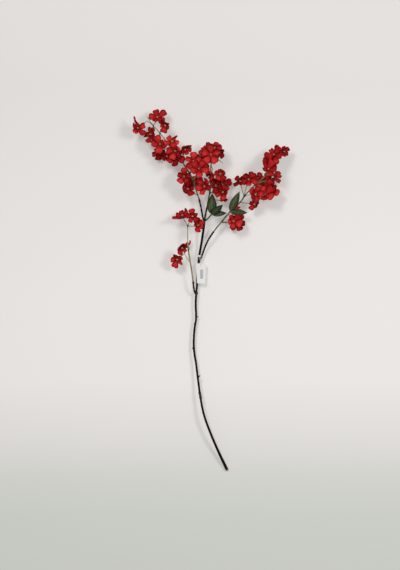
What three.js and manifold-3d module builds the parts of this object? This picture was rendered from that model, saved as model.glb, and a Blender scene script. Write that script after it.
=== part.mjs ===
// Cherry blossom branch: red fabric blossoms on a moulded plastic branch, lying on a surface.
//
// Millimetres, +Z up. The branch runs from its cut end (low Y) to its tips (high Y).
// Places are first written from the cut end, where the branch meets the surface at
// [0, 0, 0]. The group is then shifted so that the origin is under the middle of the
// branch's box, on the surface that it lies on.

import * as THREE from 'three';
import { mergeVertices } from 'three/addons/utils/BufferGeometryUtils.js';
import Module from 'manifold-3d';

const wasm = await Module();
wasm.setup();

// Driving dimensions: the gap between pieces that touch, and the seed of the petals' flutter
const GAP = 0.3;
const SEED = 20271;

// Sides of the bars, and the longest step between their rings
const BARK_SIDES = 6;
const TWIG_SIDES = 6;
const PEDICEL_SIDES = 4;
const WOOD_STEP = 20;
const TWIG_STEP = 15;
const PEDICEL_STEPS = 4;

// Radii of the dark stem from its cut end to its fork, and of its side branches up to the mouths
// of their sockets
const MAIN_RADII = [4.3, 3.4, 3.1, 3, 3, 3, 3, 3, 3.1, 3.3, 3.3];
const SOCKET_RADII = [2.8, 2.5, 2.3, 2.6];
const LEAFY_TWIG_RADII = [2.1, 1.6, 1];
const STUB_RADII = [1.8, 1.1];
// Near the cut end, what would be below the surface is cut away flat
const FLAT_CUT = { width: 60, length: 120, depth: 20, middle: 30 };

// Sprays: the twig, its plug in the socket, its side spurs and the peg of a leaf set
const TWIG_RADIUS = 1.85;
const TWIG_UPPER_RADIUS = 1.6;
const TWIG_TIP_RADIUS = 0.95;
const TWIG_START = 4;
const PLUG_RADIUS = 1.2;
const PLUG_LENGTH = 7;
const PLUG_ROOT = 3;
const SOCKET_MARGIN = 1;
const SPUR_RADII = [1.2, 0.6];
const PEG_RADII = [1.1, 1];

// Stalks: a thin bar, a calyx, the pin through the blossom and the tuft of stamens on its end
const PEDICEL_ROOT_RADIUS = 1.1;
const PEDICEL_NECK_RADIUS = 0.9;
const PEDICEL_REACH = 0.4;
const NECK_REACH = 9;
const CALYX_LENGTH = 5.5;
const CALYX_RADIUS = 2.1;
const PIN_RADIUS = 0.85;
const PIN_SPARE = 0.2;
const STAMEN_RADIUS = 3.1;
const STAMEN_HEIGHT = 2.2;

// Petals: flutter is how far their edges wave, as a part of their length
const PETAL_COUNT = 5;
const PETAL_THICKNESS = 0.8;
const COROLLA_HOLE_RADIUS = 1.6;
const FLUTTER = 0.05;
const SHOULDER_RISE = 0.6;

// Outline of one petal, as parts of its length and degrees from its own axis
const PETAL_EDGE = [[0.8, -32], [1, -14], [0.97, 0], [1, 14], [0.8, 32]];
const PETAL_CLEFT = 0.5;
const PETAL_MIDDLE = 0.55;

// Leaves: their outline is widest before the middle, with shallow teeth and a folded rib
const LEAF_THICKNESS = 0.8;
const LEAF_SECTIONS = 6;
const LEAF_POINT_HALF_WIDTH = 0.9;
const LEAF_WIDEST = 0.75;
const LEAF_FULLNESS = 0.9;
const LEAF_NOTCH = 0.93;
const LEAF_FOLD = 0.22;
const LEAF_ROOT_DEPTH = 0.8;
const SLEEVE_BELOW_TIP = 3.5;
const SLEEVE_ABOVE_TIP = 2.5;
const SLEEVE_RADII = [2.2, 1.9];
const SLEEVE_BORE_RADIUS = 1.6;

// Tag: the card lies on top of the stem, which has this height and radius under it
const TAG_WIDTH = 26.5;
const TAG_FOOT_WIDTH = 22;
const TAG_LENGTH = 55;
const TAG_CORNER = 2;
const TAG_CORNER_SEGMENTS = 4;
const TAG_THICKNESS = 0.7;
const TAG_HOLE_RADIUS = 1.7;
const TAG_HOLE_DROP = 4.5;
const TAG_TOP = { x: -72, y: 570 };
const STEM_HEIGHT_UNDER_TAG = 14;
const STEM_RADIUS_UNDER_TAG = 3;
const THREAD_RADIUS = 0.45;
const THREAD_STEPS = 32;
const THREAD_SIDES = 4;

// Settling keeps blossoms apart: see settle()
const SETTLE_PASSES = 260;
const SETTLE_EASE = 0.12;
const SETTLE_SIDEWAYS = 0.12;
const SETTLE_LIFT = 0.7;
const SETTLE_LIMIT = 1.5;
const BLOSSOM_REACH = 75;
const TWIG_REACH = 45;
const ROOT_CLEARANCE = 9;
const LOOSE_WEIGHT = 0.2;
const UPPER_STALK_WEIGHT = 0.3;
const PETAL_BALL = 2.4;
const STALK_BALL = 1.5;
const CENTRE_BALL = 3.6;
const PETAL_BALLS = [[0.42, 0], [0.42, 36], [0.7, -24], [0.7, 0], [0.7, 24], [0.93, -12], [0.93, 12]];
const STALK_BALLS = [0.25, 0.4, 0.55, 0.7, 0.85, 1];
const TWIG_BALL_STEP = 4;
const STEM_BALL = 3.6;
const LOWER_BALL = 3.3;
const TWIG_BALL = 2.4;

// Colours
function material(color, roughness) {
  return new THREE.MeshStandardMaterial({ color, roughness, metalness: 0 });
}
const BARK = material(0x2a1a15, 0.6);
const TWIG = material(0x86775a, 0.65);
const PETAL = material(0xb4141e, 0.8);
const LEAF = material(0x3c4b2c, 0.7);
const CARD = material(0xf2f1ee, 0.85);
const THREAD = material(0xf4f3f0, 0.9);

// Small helpers

const vector = (point) => new THREE.Vector3(...point);

function seededRandom(seed) {
  let state = seed;
  return () => {
    state = (state * 1664525 + 1013904223) % 4294967296;
    return state / 4294967296;
  };
}

function toSolid(geometry) {
  geometry.deleteAttribute('normal');
  geometry.deleteAttribute('uv');
  const merged = mergeVertices(geometry, 1e-4);
  return new wasm.Manifold(new wasm.Mesh({
    numProp: 3,
    vertProperties: new Float32Array(merged.attributes.position.array),
    triVerts: new Uint32Array(merged.index.array),
  }));
}

function toGeometry(solid) {
  const { vertProperties, triVerts } = solid.getMesh();
  const geometry = new THREE.BufferGeometry();
  geometry.setAttribute('position', new THREE.BufferAttribute(vertProperties, 3));
  geometry.setIndex(new THREE.BufferAttribute(triVerts, 1));
  geometry.computeVertexNormals();
  return geometry;
}

function indexedGeometry(points, triangles) {
  const geometry = new THREE.BufferGeometry();
  const coordinates = points.flatMap((point) => point.toArray());
  geometry.setAttribute('position', new THREE.Float32BufferAttribute(coordinates, 3));
  geometry.setIndex(triangles.flat());
  geometry.computeVertexNormals();
  return geometry;
}

function piece(name, geometry, finish) {
  const mesh = new THREE.Mesh(geometry, finish);
  mesh.name = name;
  return mesh;
}

// A value read from a list spread evenly over t = 0 to 1
function along(values, t) {
  const place = t * (values.length - 1);
  const low = Math.min(Math.floor(place), values.length - 2);
  return THREE.MathUtils.lerp(values[low], values[low + 1], place - low);
}

// A round bar that follows a curve, its radius read from a list, with flat ends. Further rings
// may be turned on its end, each with its distance past the curve's end and its radius.
function bar(curve, radii, sides, steps, turned = []) {
  const { tangents, normals, binormals } = curve.computeFrenetFrames(steps, false);
  const rings = [];
  for (let i = 0; i <= steps; i += 1) {
    rings.push({ centre: curve.getPointAt(i / steps), radius: along(radii, i / steps), frame: i });
  }
  for (const [distance, radius] of turned) {
    const centre = curve.getPointAt(1).addScaledVector(tangents[steps], distance);
    rings.push({ centre, radius, frame: steps });
  }
  const points = rings.flatMap(({ centre, radius, frame }) => Array.from({ length: sides }, (_, j) => {
    const angle = (j / sides) * 2 * Math.PI;
    return centre.clone()
      .addScaledVector(normals[frame], Math.cos(angle) * radius)
      .addScaledVector(binormals[frame], Math.sin(angle) * radius);
  }));
  const first = points.push(rings[0].centre) - 1;
  const last = points.push(rings.at(-1).centre) - 1;
  const top = (rings.length - 1) * sides;
  const triangles = [];
  for (let j = 0; j < sides; j += 1) {
    const next = (j + 1) % sides;
    for (let low = 0; low < top; low += sides) {
      const high = low + sides;
      triangles.push([low + j, low + next, high + next], [low + j, high + next, high + j]);
    }
    triangles.push([first, next, j], [last, top + j, top + next]);
  }
  return indexedGeometry(points, triangles);
}

const smooth = (points) => new THREE.CatmullRomCurve3(points.map(vector), false, 'centripetal');

function limb(points, radii, sides, step) {
  const curve = smooth(points);
  return toSolid(bar(curve, radii, sides, Math.ceil(curve.getLength() / step)));
}

function rod(from, to, radii, sides) {
  return toSolid(bar(new THREE.LineCurve3(from, to), radii, sides, 1));
}

function knot(point, radius) {
  return toSolid(new THREE.IcosahedronGeometry(radius, 0).translate(...point));
}

// Routes of the branch: [x, y, z] from the cut end

const MAIN = [
  [0, 0, 3.2], [-21, 44, 14], [-47, 105, 25.5], [-65, 156, 27], [-75, 209, 23.5], [-81, 254, 19],
  [-86, 295, 15.5], [-92, 333, 14], [-91, 384, 13], [-86, 417, 13], [-87, 454, 13.5],
  [-86, 481, 14], [-83, 514, 14], [-81, 552, 14], [-77, 593, 14], [-73, 615, 15.5],
  [-68, 646, 22.5], [-64, 674, 28.5], [-63, 685, 29],
];
const FORK = MAIN.at(-1);

// The dark lower part of each side branch ends in a socket that its spray plugs into
const LOWER_LEFT = [FORK, [-68, 699, 29], [-71, 718, 29.5], [-75, 736, 30], [-78, 748, 30]];
const LOWER_MIDDLE = [FORK, [-61, 699, 30], [-58, 713, 31], [-56, 724, 32]];
const LOWER_RIGHT = [
  [-79, 572, 14], [-71, 588, 13.7], [-64, 608, 15], [-52, 636, 24.5], [-44, 648, 27], [-38, 657, 27],
];
const LOWER_LOW = [[-86, 484, 14], [-91, 496, 21], [-93, 508, 27.5], [-94, 520, 29.5]];
const LEAFY_TWIG = [FORK, [-56, 691, 30], [-49, 698, 31], [-44, 704, 32]];

const LEFT_TWIG = [
  [-86, 772, 31], [-94, 797, 32], [-103, 817, 32], [-113, 832, 32], [-123, 848, 31], [-138, 870, 30],
  [-156, 890, 29], [-173, 913, 28], [-186, 930, 28], [-204, 949, 28], [-214, 958, 28], [-221, 962, 28],
];
const LEFT_SPUR = [[-204, 949, 28], [-214, 963, 30], [-222, 975, 32]];
const MIDDLE_TWIG = [
  [-52, 746, 34], [-48, 764, 35], [-46, 786, 36], [-46, 810, 37], [-45, 838, 37], [-43, 860, 36],
  [-49, 882, 34], [-57, 905, 32],
];
const MIDDLE_SPUR = [[-43, 860, 36], [-32, 859, 34], [-21, 853, 32], [-12, 845, 30]];
const RIGHT_TWIG = [
  [-17, 683, 28], [-4, 699, 29], [11, 716, 30], [23, 726, 30], [36, 738, 30], [46, 754, 30],
  [62, 772, 29], [78, 787, 28], [92, 799, 27], [105, 814, 27], [116, 831, 28], [126, 852, 29],
  [138, 868, 30],
];
const LOW_TWIG = [
  [-97, 543, 30], [-100, 563, 30], [-102, 574, 30], [-104, 588, 30], [-107, 607, 30], [-109, 626, 30],
  [-109, 648, 30], [-109, 673, 30],
];
const LOW_SPUR = [[-102, 574, 30], [-111, 585, 29], [-117, 596, 28]];

// Knots, a joint collar, a thorn and two cut stubs on the dark stem
const KNOTS = [[[-92, 336, 14.5], 4], [[-89, 403, 13], 3.7], [[-84, 488, 14], 4], [[-64, 680, 29], 4.1]];
const COLLAR = { from: [-73, 198, 24.4], to: [-76.5, 217, 22.9], radius: 3.8 };
const STUBS = [
  { from: [-81, 254, 19], to: [-75, 262, 20.5] },
  { from: [-86, 421, 13], to: [-80, 424, 14.5] },
  { from: [-90, 333, 14], to: [-97, 337, 16] },
];

// Blossoms of each spray: where the stalk leaves the twig, where the flower's centre is before
// settling, how far it leans from facing up, towards which way (degrees anticlockwise from +X),
// the way that its first petal points, its petals' lengths, and how far they curl (radians)
const LEFT_BLOSSOMS = [
  {
    root: [-204, 949, 28], at: [-192, 970.5, 42], lean: 20, towards: 115,
    roll: 31, petals: [27, 21.5, 23, 20, 24], cup: 0.37,
  },
  {
    root: [-186, 930, 28], at: [-169.5, 949.5, 42], lean: 33, towards: 237,
    roll: 38, petals: [21, 22.5, 15, 24.5, 15], cup: 0.78,
  },
  {
    root: [-221, 962, 28], at: [-247, 941.5, 34], lean: 27, towards: 49,
    roll: 89, petals: [24, 22, 20, 26, 21], cup: 0.4,
  },
  {
    root: [-204, 949, 28], at: [-207.5, 924.5, 39], lean: 45, towards: 178,
    roll: 334, petals: [22, 21, 23.5, 25.5, 25], cup: 0.44,
  },
  {
    root: [-186, 930, 28], at: [-185.5, 896.5, 29], lean: 27, towards: 69,
    roll: 330, petals: [27, 25, 26, 25, 24.5], cup: 0.51,
  },
  {
    root: [-186, 930, 28], at: [-198.5, 903.5, 15], lean: 80, towards: 215,
    roll: 312, petals: [17, 15.5, 15.5, 16.5, 16], cup: 0.43,
  },
  {
    root: [-156, 890, 29], at: [-151.5, 903, 45], lean: 27, towards: 110,
    roll: 343, petals: [18.5, 21, 18.5, 22.5, 22.5], cup: 0.43,
  },
  {
    root: [-138, 870, 30], at: [-142, 878, 52], lean: 19, towards: 226,
    roll: 176, petals: [24, 23.5, 23, 23.5, 21], cup: 0.49,
  },
  {
    root: [-123, 848, 31], at: [-117, 883, 48], lean: 34, towards: 325,
    roll: 79, petals: [22.5, 20.5, 23.5, 19.5, 18], cup: 0.95,
  },
  {
    root: [-138, 870, 30], at: [-140.5, 857.5, 50], lean: 24, towards: 143,
    roll: 199, petals: [22.5, 25.5, 23.5, 25.5, 26], cup: 0.55,
  },
  {
    root: [-156, 890, 29], at: [-186, 876, 16], lean: 27, towards: 254,
    roll: 258, petals: [23, 23, 21, 22.5, 21.5], cup: 0.58,
  },
  {
    root: [-138, 870, 30], at: [-167, 863.5, 34], lean: 24, towards: 40,
    roll: 285, petals: [17.5, 19.5, 20, 20.5, 20], cup: 0.62,
  },
  {
    root: [-103, 817, 32], at: [-93, 851, 52], lean: 10, towards: 310,
    roll: 160, petals: [26.5, 25, 21, 21, 21.5], cup: 0.48,
  },
  {
    root: [-103, 817, 32], at: [-68.5, 852.5, 31], lean: 5, towards: 295,
    roll: 153, petals: [25.5, 24.5, 26.5, 26, 24.5], cup: 0.4,
  },
  {
    root: [-94, 797, 32], at: [-78.5, 827.5, 60], lean: 7, towards: 68,
    roll: 274, petals: [23, 27, 25.5, 26, 26], cup: 0.45,
  },
  {
    root: [-103, 817, 32], at: [-118, 808, 54], lean: 18, towards: 206,
    roll: 229, petals: [24, 22.5, 17.5, 24, 17.5], cup: 0.45,
  },
  {
    root: [-80.5, 757, 30.3], at: [-109, 774.5, 37], lean: 13, towards: 35,
    roll: 156, petals: [24, 24.5, 27, 17.5, 25], cup: 0.71,
  },
  {
    root: [-86, 772, 31], at: [-91.5, 794, 15], lean: 168, towards: 20,
    roll: 231, petals: [24.5, 23.5, 24, 25.5, 20], cup: 0.8,
  },
];
const MIDDLE_BLOSSOMS = [
  {
    root: [-48, 764, 35], at: [-61.5, 780.5, 63], lean: 28, towards: 176,
    roll: 343, petals: [19, 27, 26, 24, 26.5], cup: 0.85,
  },
  {
    root: [-45, 838, 37], at: [-44, 819, 56], lean: 62, towards: 237,
    roll: 217, petals: [18, 20.5, 22, 18, 17], cup: 0.96,
  },
  {
    root: [-43, 860, 36], at: [-45.5, 868, 56], lean: 8, towards: 258,
    roll: 233, petals: [26, 26.5, 23, 25, 23.5], cup: 0.67,
  },
  {
    root: [-43, 860, 36], at: [-20, 874.5, 44], lean: 20, towards: 175,
    roll: 166, petals: [20.5, 19.5, 21, 20.5, 23.5], cup: 0.79,
  },
  {
    root: [-49, 882, 34], at: [-59.5, 879.5, 44], lean: 40, towards: 143,
    roll: 277, petals: [21, 21.5, 24, 18, 21.5], cup: 0.4,
  },
  {
    root: [-43, 860, 36], at: [-35.5, 886.5, 50], lean: 36, towards: 268,
    roll: 0, petals: [18.5, 20, 18.5, 19, 18], cup: 0.47,
  },
  {
    root: [-46, 810, 37], at: [-19.5, 816, 50], lean: 13, towards: 246,
    roll: 25, petals: [23, 15, 25.5, 21, 25], cup: 0.6,
  },
  {
    root: [-46, 786, 36], at: [-31.5, 785, 44], lean: 4, towards: 227,
    roll: 341, petals: [16, 19.5, 23.5, 14, 25], cup: 0.41,
  },
  {
    root: [-46, 786, 36], at: [-14.5, 788, 33], lean: 19, towards: 316,
    roll: 18, petals: [25.5, 25, 26, 25.5, 24.5], cup: 0.49,
  },
  {
    root: [-48, 764, 35], at: [-11, 765.5, 34], lean: 22, towards: 168,
    roll: 283, petals: [20, 21, 18.5, 20, 23.5], cup: 0.61,
  },
  {
    root: [-52, 746, 34], at: [-11.5, 747.5, 22], lean: 24, towards: 121,
    roll: 322, petals: [16, 13.5, 12, 11.5, 13], cup: 0.94,
  },
];
const RIGHT_BLOSSOMS = [
  {
    root: [-17, 683, 28], at: [17.5, 686, 42], lean: 6, towards: 111,
    roll: 190, petals: [17, 21, 23.5, 22, 18], cup: 0.75,
  },
  {
    root: [-17, 683, 28], at: [29.5, 680, 16], lean: 4, towards: 96,
    roll: 289, petals: [22, 20, 27, 27, 24.5], cup: 0.47,
  },
  {
    root: [-4, 699, 29], at: [19, 716, 15], lean: 45, towards: 50,
    roll: 50, petals: [24, 19, 14, 15, 19], cup: 0.5,
  },
  {
    root: [46, 754, 30], at: [58, 800.5, 44], lean: 13, towards: 275,
    roll: 201, petals: [23.5, 21, 24, 27, 24.5], cup: 0.83,
  },
  {
    root: [46, 754, 30], at: [35.5, 796.5, 34], lean: 13, towards: 308,
    roll: 212, petals: [21.5, 13.5, 20.5, 15, 19], cup: 0.59,
  },
  {
    root: [46, 754, 30], at: [75.5, 759.5, 57], lean: 29, towards: 348,
    roll: 74, petals: [22.5, 26, 25.5, 25, 24], cup: 0.54,
  },
  {
    root: [36, 738, 30], at: [75.5, 733, 29], lean: 18, towards: 182,
    roll: 91, petals: [16.5, 15.5, 20.5, 16, 18], cup: 0.73,
  },
  {
    root: [78, 787, 28], at: [83.5, 801, 34], lean: 57, towards: 117,
    roll: 288, petals: [22, 22, 21.5, 22.5, 22.5], cup: 0.89,
  },
  {
    root: [78, 787, 28], at: [103, 796, 13], lean: 166, towards: 330,
    roll: 357, petals: [27, 27, 27, 27, 27], cup: 0.6,
  },
  {
    root: [78, 787, 28], at: [123.5, 771, 30], lean: 18, towards: 140,
    roll: 42, petals: [24, 24, 23.5, 24, 23.5], cup: 0.77,
  },
  {
    root: [78, 787, 28], at: [103.5, 758.5, 44], lean: 27, towards: 123,
    roll: 46, petals: [26, 27, 26.5, 27, 27], cup: 0.41,
  },
  {
    root: [105, 814, 27], at: [129, 812, 17], lean: 80, towards: 355,
    roll: 83, petals: [16, 23, 23.5, 25.5, 25], cup: 0.95,
  },
  {
    root: [105, 814, 27], at: [111.5, 827.5, 59], lean: 28, towards: 63,
    roll: 210, petals: [26, 25.5, 24, 27, 23.5], cup: 0.72,
  },
  {
    root: [116, 831, 28], at: [117, 844.5, 58], lean: 11, towards: 63,
    roll: 91, petals: [24, 24, 20, 21.5, 23], cup: 0.58,
  },
  {
    root: [126, 852, 29], at: [128.5, 867.5, 46], lean: 24, towards: 127,
    roll: 51, petals: [27, 18, 25.5, 22, 27], cup: 0.58,
  },
  {
    root: [138, 868, 30], at: [155.5, 878, 42], lean: 13, towards: 356,
    roll: 254, petals: [18, 22, 17.5, 17.5, 19.5], cup: 0.75,
  },
];
const LOW_BLOSSOMS = [
  {
    root: [-109, 673, 30], at: [-123.5, 700, 35], lean: 39, towards: 113,
    roll: 169, petals: [18, 25.5, 20, 26, 16], cup: 0.4,
  },
  {
    root: [-109, 673, 30], at: [-95.5, 700, 46], lean: 14, towards: 283,
    roll: 170, petals: [20, 18, 24, 16, 22], cup: 0.53,
  },
  {
    root: [-109, 673, 30], at: [-81.5, 674, 46], lean: 25, towards: 30,
    roll: 112, petals: [16, 13.5, 24, 15.5, 19], cup: 0.7,
  },
  {
    root: [-117, 596, 28], at: [-125, 613.5, 44], lean: 40, towards: 298,
    roll: 314, petals: [15.5, 16.5, 21.5, 23.5, 23], cup: 0.66,
  },
  {
    root: [-117, 596, 28], at: [-137, 582, 36], lean: 22, towards: 250,
    roll: 34, petals: [17, 21, 19, 24, 24], cup: 0.6,
  },
  {
    root: [-107, 607, 30], at: [-106.5, 619, 19], lean: 94, towards: 118,
    roll: 249, petals: [15.5, 14.5, 12.5, 13, 18], cup: 0.98,
  },
];

// The two blossoms that carry the branch where it rests, besides its cut end
const RESTING = ['blossom_left_06', 'blossom_right_12'];

// Leaf sets: the peg that carries each set, and its leaves with their length, half width, the way
// they run, how they rise from the peg and bend along their length, and their roll on the rib
const LEAF_SETS = [
  {
    name: 'leaves_middle',
    peg: { from: [-49, 698, 31], to: [-44, 704, 32] },
    leaves: [
      { length: 57, halfWidth: 13, heading: 88.5, rise: 12, bend: -20, roll: 0 },
      { length: 43, halfWidth: 10.5, heading: 40, rise: 38, bend: -36, roll: 24 },
      { length: 44, halfWidth: 8.5, heading: 3, rise: 4, bend: 30, roll: -20 },
    ],
  },
  {
    name: 'leaves_right',
    peg: { from: [6, 710.5, 29.5], to: [7.5, 712, 36] },
    leaves: [
      { length: 61.5, halfWidth: 11, heading: 65, rise: 12, bend: -26, roll: 0 },
      { length: 48, halfWidth: 9, heading: -4, rise: 10, bend: -18, roll: 18 },
    ],
  },
];

// Blossoms

// The frame of a blossom: its outward axis, and the axis that its first petal points along
function blossomFrame({ lean, towards, roll }) {
  const tilt = THREE.MathUtils.degToRad(lean);
  const azimuth = THREE.MathUtils.degToRad(towards);
  const turn = THREE.MathUtils.degToRad(roll);
  const axis = new THREE.Vector3(
    Math.sin(tilt) * Math.cos(azimuth),
    Math.sin(tilt) * Math.sin(azimuth),
    Math.cos(tilt),
  );
  const first = new THREE.Vector3(Math.cos(turn), Math.sin(turn), 0);
  first.addScaledVector(axis, -first.dot(axis)).normalize();
  return { axis, first, second: new THREE.Vector3().crossVectors(axis, first) };
}

// A point of the curled petal sheet, its distance measured along the petal
function onSheet({ petal, cup }, distance, degrees, lift, side) {
  const bend = (cup * distance) / petal;
  const angle = THREE.MathUtils.degToRad(degrees);
  const half = (side * PETAL_THICKNESS) / 2;
  const radial = (petal / cup) * Math.sin(bend) - half * Math.sin(bend);
  const height = (petal / cup) * (1 - Math.cos(bend)) + half * Math.cos(bend) + lift;
  return new THREE.Vector3(radial * Math.cos(angle), radial * Math.sin(angle), height);
}

// Five petals joined round a hole, as one sheet that is triangulated alike on both faces
function corolla(blossom, random) {
  const perPetal = 3 + PETAL_EDGE.length;
  const step = 360 / PETAL_COUNT;
  const wobble = Array.from({ length: PETAL_COUNT }, () => (random() - 0.5) * 2 * FLUTTER * blossom.petal);
  const points = [];
  for (const side of [1, -1]) {
    for (let k = 0; k < PETAL_COUNT; k += 1) {
      const axis = k * step;
      const edge = PETAL_EDGE.map(([part, degrees]) => onSheet(
        blossom,
        part * blossom.petals[k],
        axis + degrees,
        wobble[k] * Math.sign(degrees) + (part < 1 ? SHOULDER_RISE * FLUTTER * blossom.petal : 0),
        side,
      ));
      points.push(
        onSheet(blossom, COROLLA_HOLE_RADIUS, axis + step / 2, 0, side),
        onSheet(blossom, PETAL_CLEFT * blossom.petal, axis + step / 2, 0, side),
        onSheet(blossom, PETAL_MIDDLE * blossom.petal, axis, 0, side),
        ...edge,
      );
    }
  }
  const triangles = [];
  const under = perPetal * PETAL_COUNT;
  const wall = (a, b) => triangles.push([a, a + under, b + under], [a, b + under, b]);
  for (let k = 0; k < PETAL_COUNT; k += 1) {
    const [holeNext, cleftNext, middle, ...edge] = Array.from(
      { length: perPetal },
      (_, i) => k * perPetal + i,
    );
    const hole = ((k + PETAL_COUNT - 1) % PETAL_COUNT) * perPetal;
    const cleft = hole + 1;
    const rim = [hole, cleft, ...edge, cleftNext, holeNext];
    rim.forEach((a, i) => {
      const b = rim[(i + 1) % rim.length];
      triangles.push([middle, a, b], [middle + under, b + under, a + under]);
    });
    const outer = [cleft, ...edge, cleftNext];
    outer.slice(1).forEach((b, i) => wall(outer[i], b));
    wall(holeNext, hole);
  }
  const { axis, first, second } = blossomFrame(blossom);
  const place = new THREE.Matrix4().makeBasis(first, second, axis).setPosition(blossom.centre);
  return indexedGeometry(points, triangles).applyMatrix4(place);
}

// The stalk's curve, from inside its twig to the neck of the calyx, which it meets end on
function stalkCurve({ root, centre, axis }) {
  const start = vector(root);
  const neck = centre.clone().addScaledVector(axis, -(PETAL_THICKNESS / 2 + GAP + CALYX_LENGTH));
  return new THREE.CubicBezierCurve3(
    start,
    start.clone().lerp(neck, PEDICEL_REACH),
    neck.clone().addScaledVector(axis, -Math.min(NECK_REACH, start.distanceTo(neck) * PEDICEL_REACH)),
    neck,
  );
}

// Stalk, calyx, the pin that passes through the corolla, and the tuft of stamens that holds it
function stalk(blossom) {
  const seat = PETAL_THICKNESS / 2 + GAP;
  const front = CALYX_LENGTH + 2 * seat + PIN_SPARE;
  return toSolid(bar(
    stalkCurve(blossom),
    [PEDICEL_ROOT_RADIUS, PEDICEL_NECK_RADIUS],
    PEDICEL_SIDES,
    PEDICEL_STEPS,
    [
      [CALYX_LENGTH, CALYX_RADIUS],
      [CALYX_LENGTH, PIN_RADIUS],
      [front, PIN_RADIUS],
      [front + STAMEN_HEIGHT, STAMEN_RADIUS],
    ],
  ));
}

// Balls that stand for a blossom: those of its centre and petals, whose places from the centre
// never change, and those of its stalk. A ball's weight is 1 where it moves with the blossom and
// 0 where it stays with the twig.
function petalBalls(blossom) {
  const { axis, first, second } = blossomFrame(blossom);
  const place = new THREE.Matrix4().makeBasis(first, second, axis);
  const balls = [{ offset: new THREE.Vector3(), radius: CENTRE_BALL }];
  for (let k = 0; k < PETAL_COUNT; k += 1) {
    for (const [part, degrees] of PETAL_BALLS) {
      const angle = (k * 360) / PETAL_COUNT + degrees;
      const offset = onSheet(blossom, part * blossom.petals[k], angle, 0, 0).applyMatrix4(place);
      balls.push({ offset, radius: PETAL_BALL });
    }
  }
  return balls;
}

function ballsOf(blossom) {
  const curve = stalkCurve(blossom);
  return [
    ...blossom.balls.map(({ offset, radius }) => ({
      centre: blossom.centre.clone().add(offset), radius, weight: 1,
    })),
    ...STALK_BALLS.map((t) => ({ centre: curve.getPoint(t), radius: STALK_BALL, weight: t })),
  ];
}

function twigBalls(routes) {
  return routes.flatMap(({ points, radius }) => {
    const curve = smooth(points);
    const count = Math.ceil(curve.getLength() / TWIG_BALL_STEP);
    return curve.getSpacedPoints(count).map((centre) => ({ centre, radius, weight: 0 }));
  });
}

// How far one set of balls is pushed out of another
function pushOut(balls, others, upward) {
  const push = new THREE.Vector3();
  for (const a of balls) {
    for (const b of others) {
      const overlap = a.radius + b.radius - a.centre.distanceTo(b.centre);
      if (overlap > 0 && a.weight + b.weight > LOOSE_WEIGHT) {
        const way = a.centre.clone().sub(b.centre).normalize();
        way.multiply(new THREE.Vector3(SETTLE_SIDEWAYS, SETTLE_SIDEWAYS, 1));
        way.z += SETTLE_LIFT * upward;
        push.addScaledVector(way, overlap * SETTLE_EASE);
      }
    }
  }
  return push.clampLength(0, SETTLE_LIMIT);
}

// Blossoms that would touch are moved apart a little at a time, mostly up and down, and the lower
// of two stays the lower. They keep off the twigs and the surface too.
function settle(blossoms, routes) {
  const fixed = twigBalls(routes);
  const order = [...blossoms].sort((a, b) => a.at[2] - b.at[2]);
  for (const blossom of order) {
    blossom.centre = vector(blossom.at);
    blossom.axis = blossomFrame(blossom).axis;
    blossom.balls = petalBalls(blossom);
  }
  for (let pass = 0; pass < SETTLE_PASSES; pass += 1) {
    for (let i = 0; i < order.length; i += 1) {
      const blossom = order[i];
      const root = vector(blossom.root);
      const near = fixed.filter(({ centre }) => centre.distanceTo(blossom.centre) < TWIG_REACH
        && centre.distanceTo(root) > ROOT_CLEARANCE);
      const upper = ballsOf(blossom).filter(({ weight }) => weight > UPPER_STALK_WEIGHT);
      blossom.centre.add(pushOut(upper, near, blossom.centre.z > root.z ? 1 : -1));
      for (let j = i + 1; j < order.length; j += 1) {
        const other = order[j];
        if (blossom.centre.distanceTo(other.centre) < BLOSSOM_REACH) {
          const push = pushOut(ballsOf(other), ballsOf(blossom), 1);
          other.centre.addScaledVector(push, 0.5);
          blossom.centre.addScaledVector(push, -0.5);
        }
      }
      const lowest = Math.min(...ballsOf(blossom).map(({ centre, radius }) => centre.z - radius));
      blossom.centre.z += Math.max(0, -lowest);
    }
  }
}

// Branch

function endOf(points) {
  const end = vector(points.at(-1));
  return { end, way: end.clone().sub(vector(points.at(-2))).normalize() };
}

function socketIn(points) {
  const { end, way } = endOf(points);
  const radius = PLUG_RADIUS + GAP;
  return rod(
    end.clone().addScaledVector(way, -PLUG_LENGTH - SOCKET_MARGIN),
    end.clone().addScaledVector(way, SOCKET_MARGIN),
    [radius, radius],
    TWIG_SIDES,
  );
}

function wood() {
  const lowers = [LOWER_LEFT, LOWER_MIDDLE, LOWER_RIGHT, LOWER_LOW];
  const parts = [
    limb(MAIN, MAIN_RADII, BARK_SIDES, WOOD_STEP),
    ...lowers.map((route) => limb(route, SOCKET_RADII, BARK_SIDES, TWIG_STEP)),
    limb(LEAFY_TWIG, LEAFY_TWIG_RADII, TWIG_SIDES, TWIG_STEP),
    ...KNOTS.map(([point, radius]) => knot(point, radius)),
    rod(vector(COLLAR.from), vector(COLLAR.to), [COLLAR.radius, COLLAR.radius], BARK_SIDES),
    ...STUBS.map(({ from, to }) => rod(vector(from), vector(to), STUB_RADII, PEDICEL_SIDES)),
  ];
  const { width, length, depth, middle } = FLAT_CUT;
  const below = toSolid(new THREE.BoxGeometry(width, length, depth).translate(0, middle, -depth / 2));
  return lowers
    .reduce((solid, route) => solid.subtract(socketIn(route)), wasm.Manifold.union(parts))
    .subtract(below);
}

// A spray's twig starts just outside its socket, straight on from it
function sprayRoute(lower, twig) {
  const { end, way } = endOf(lower);
  const start = end.clone().addScaledVector(way, GAP);
  return [start.toArray(), start.clone().addScaledVector(way, TWIG_START).toArray(), ...twig];
}

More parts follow.
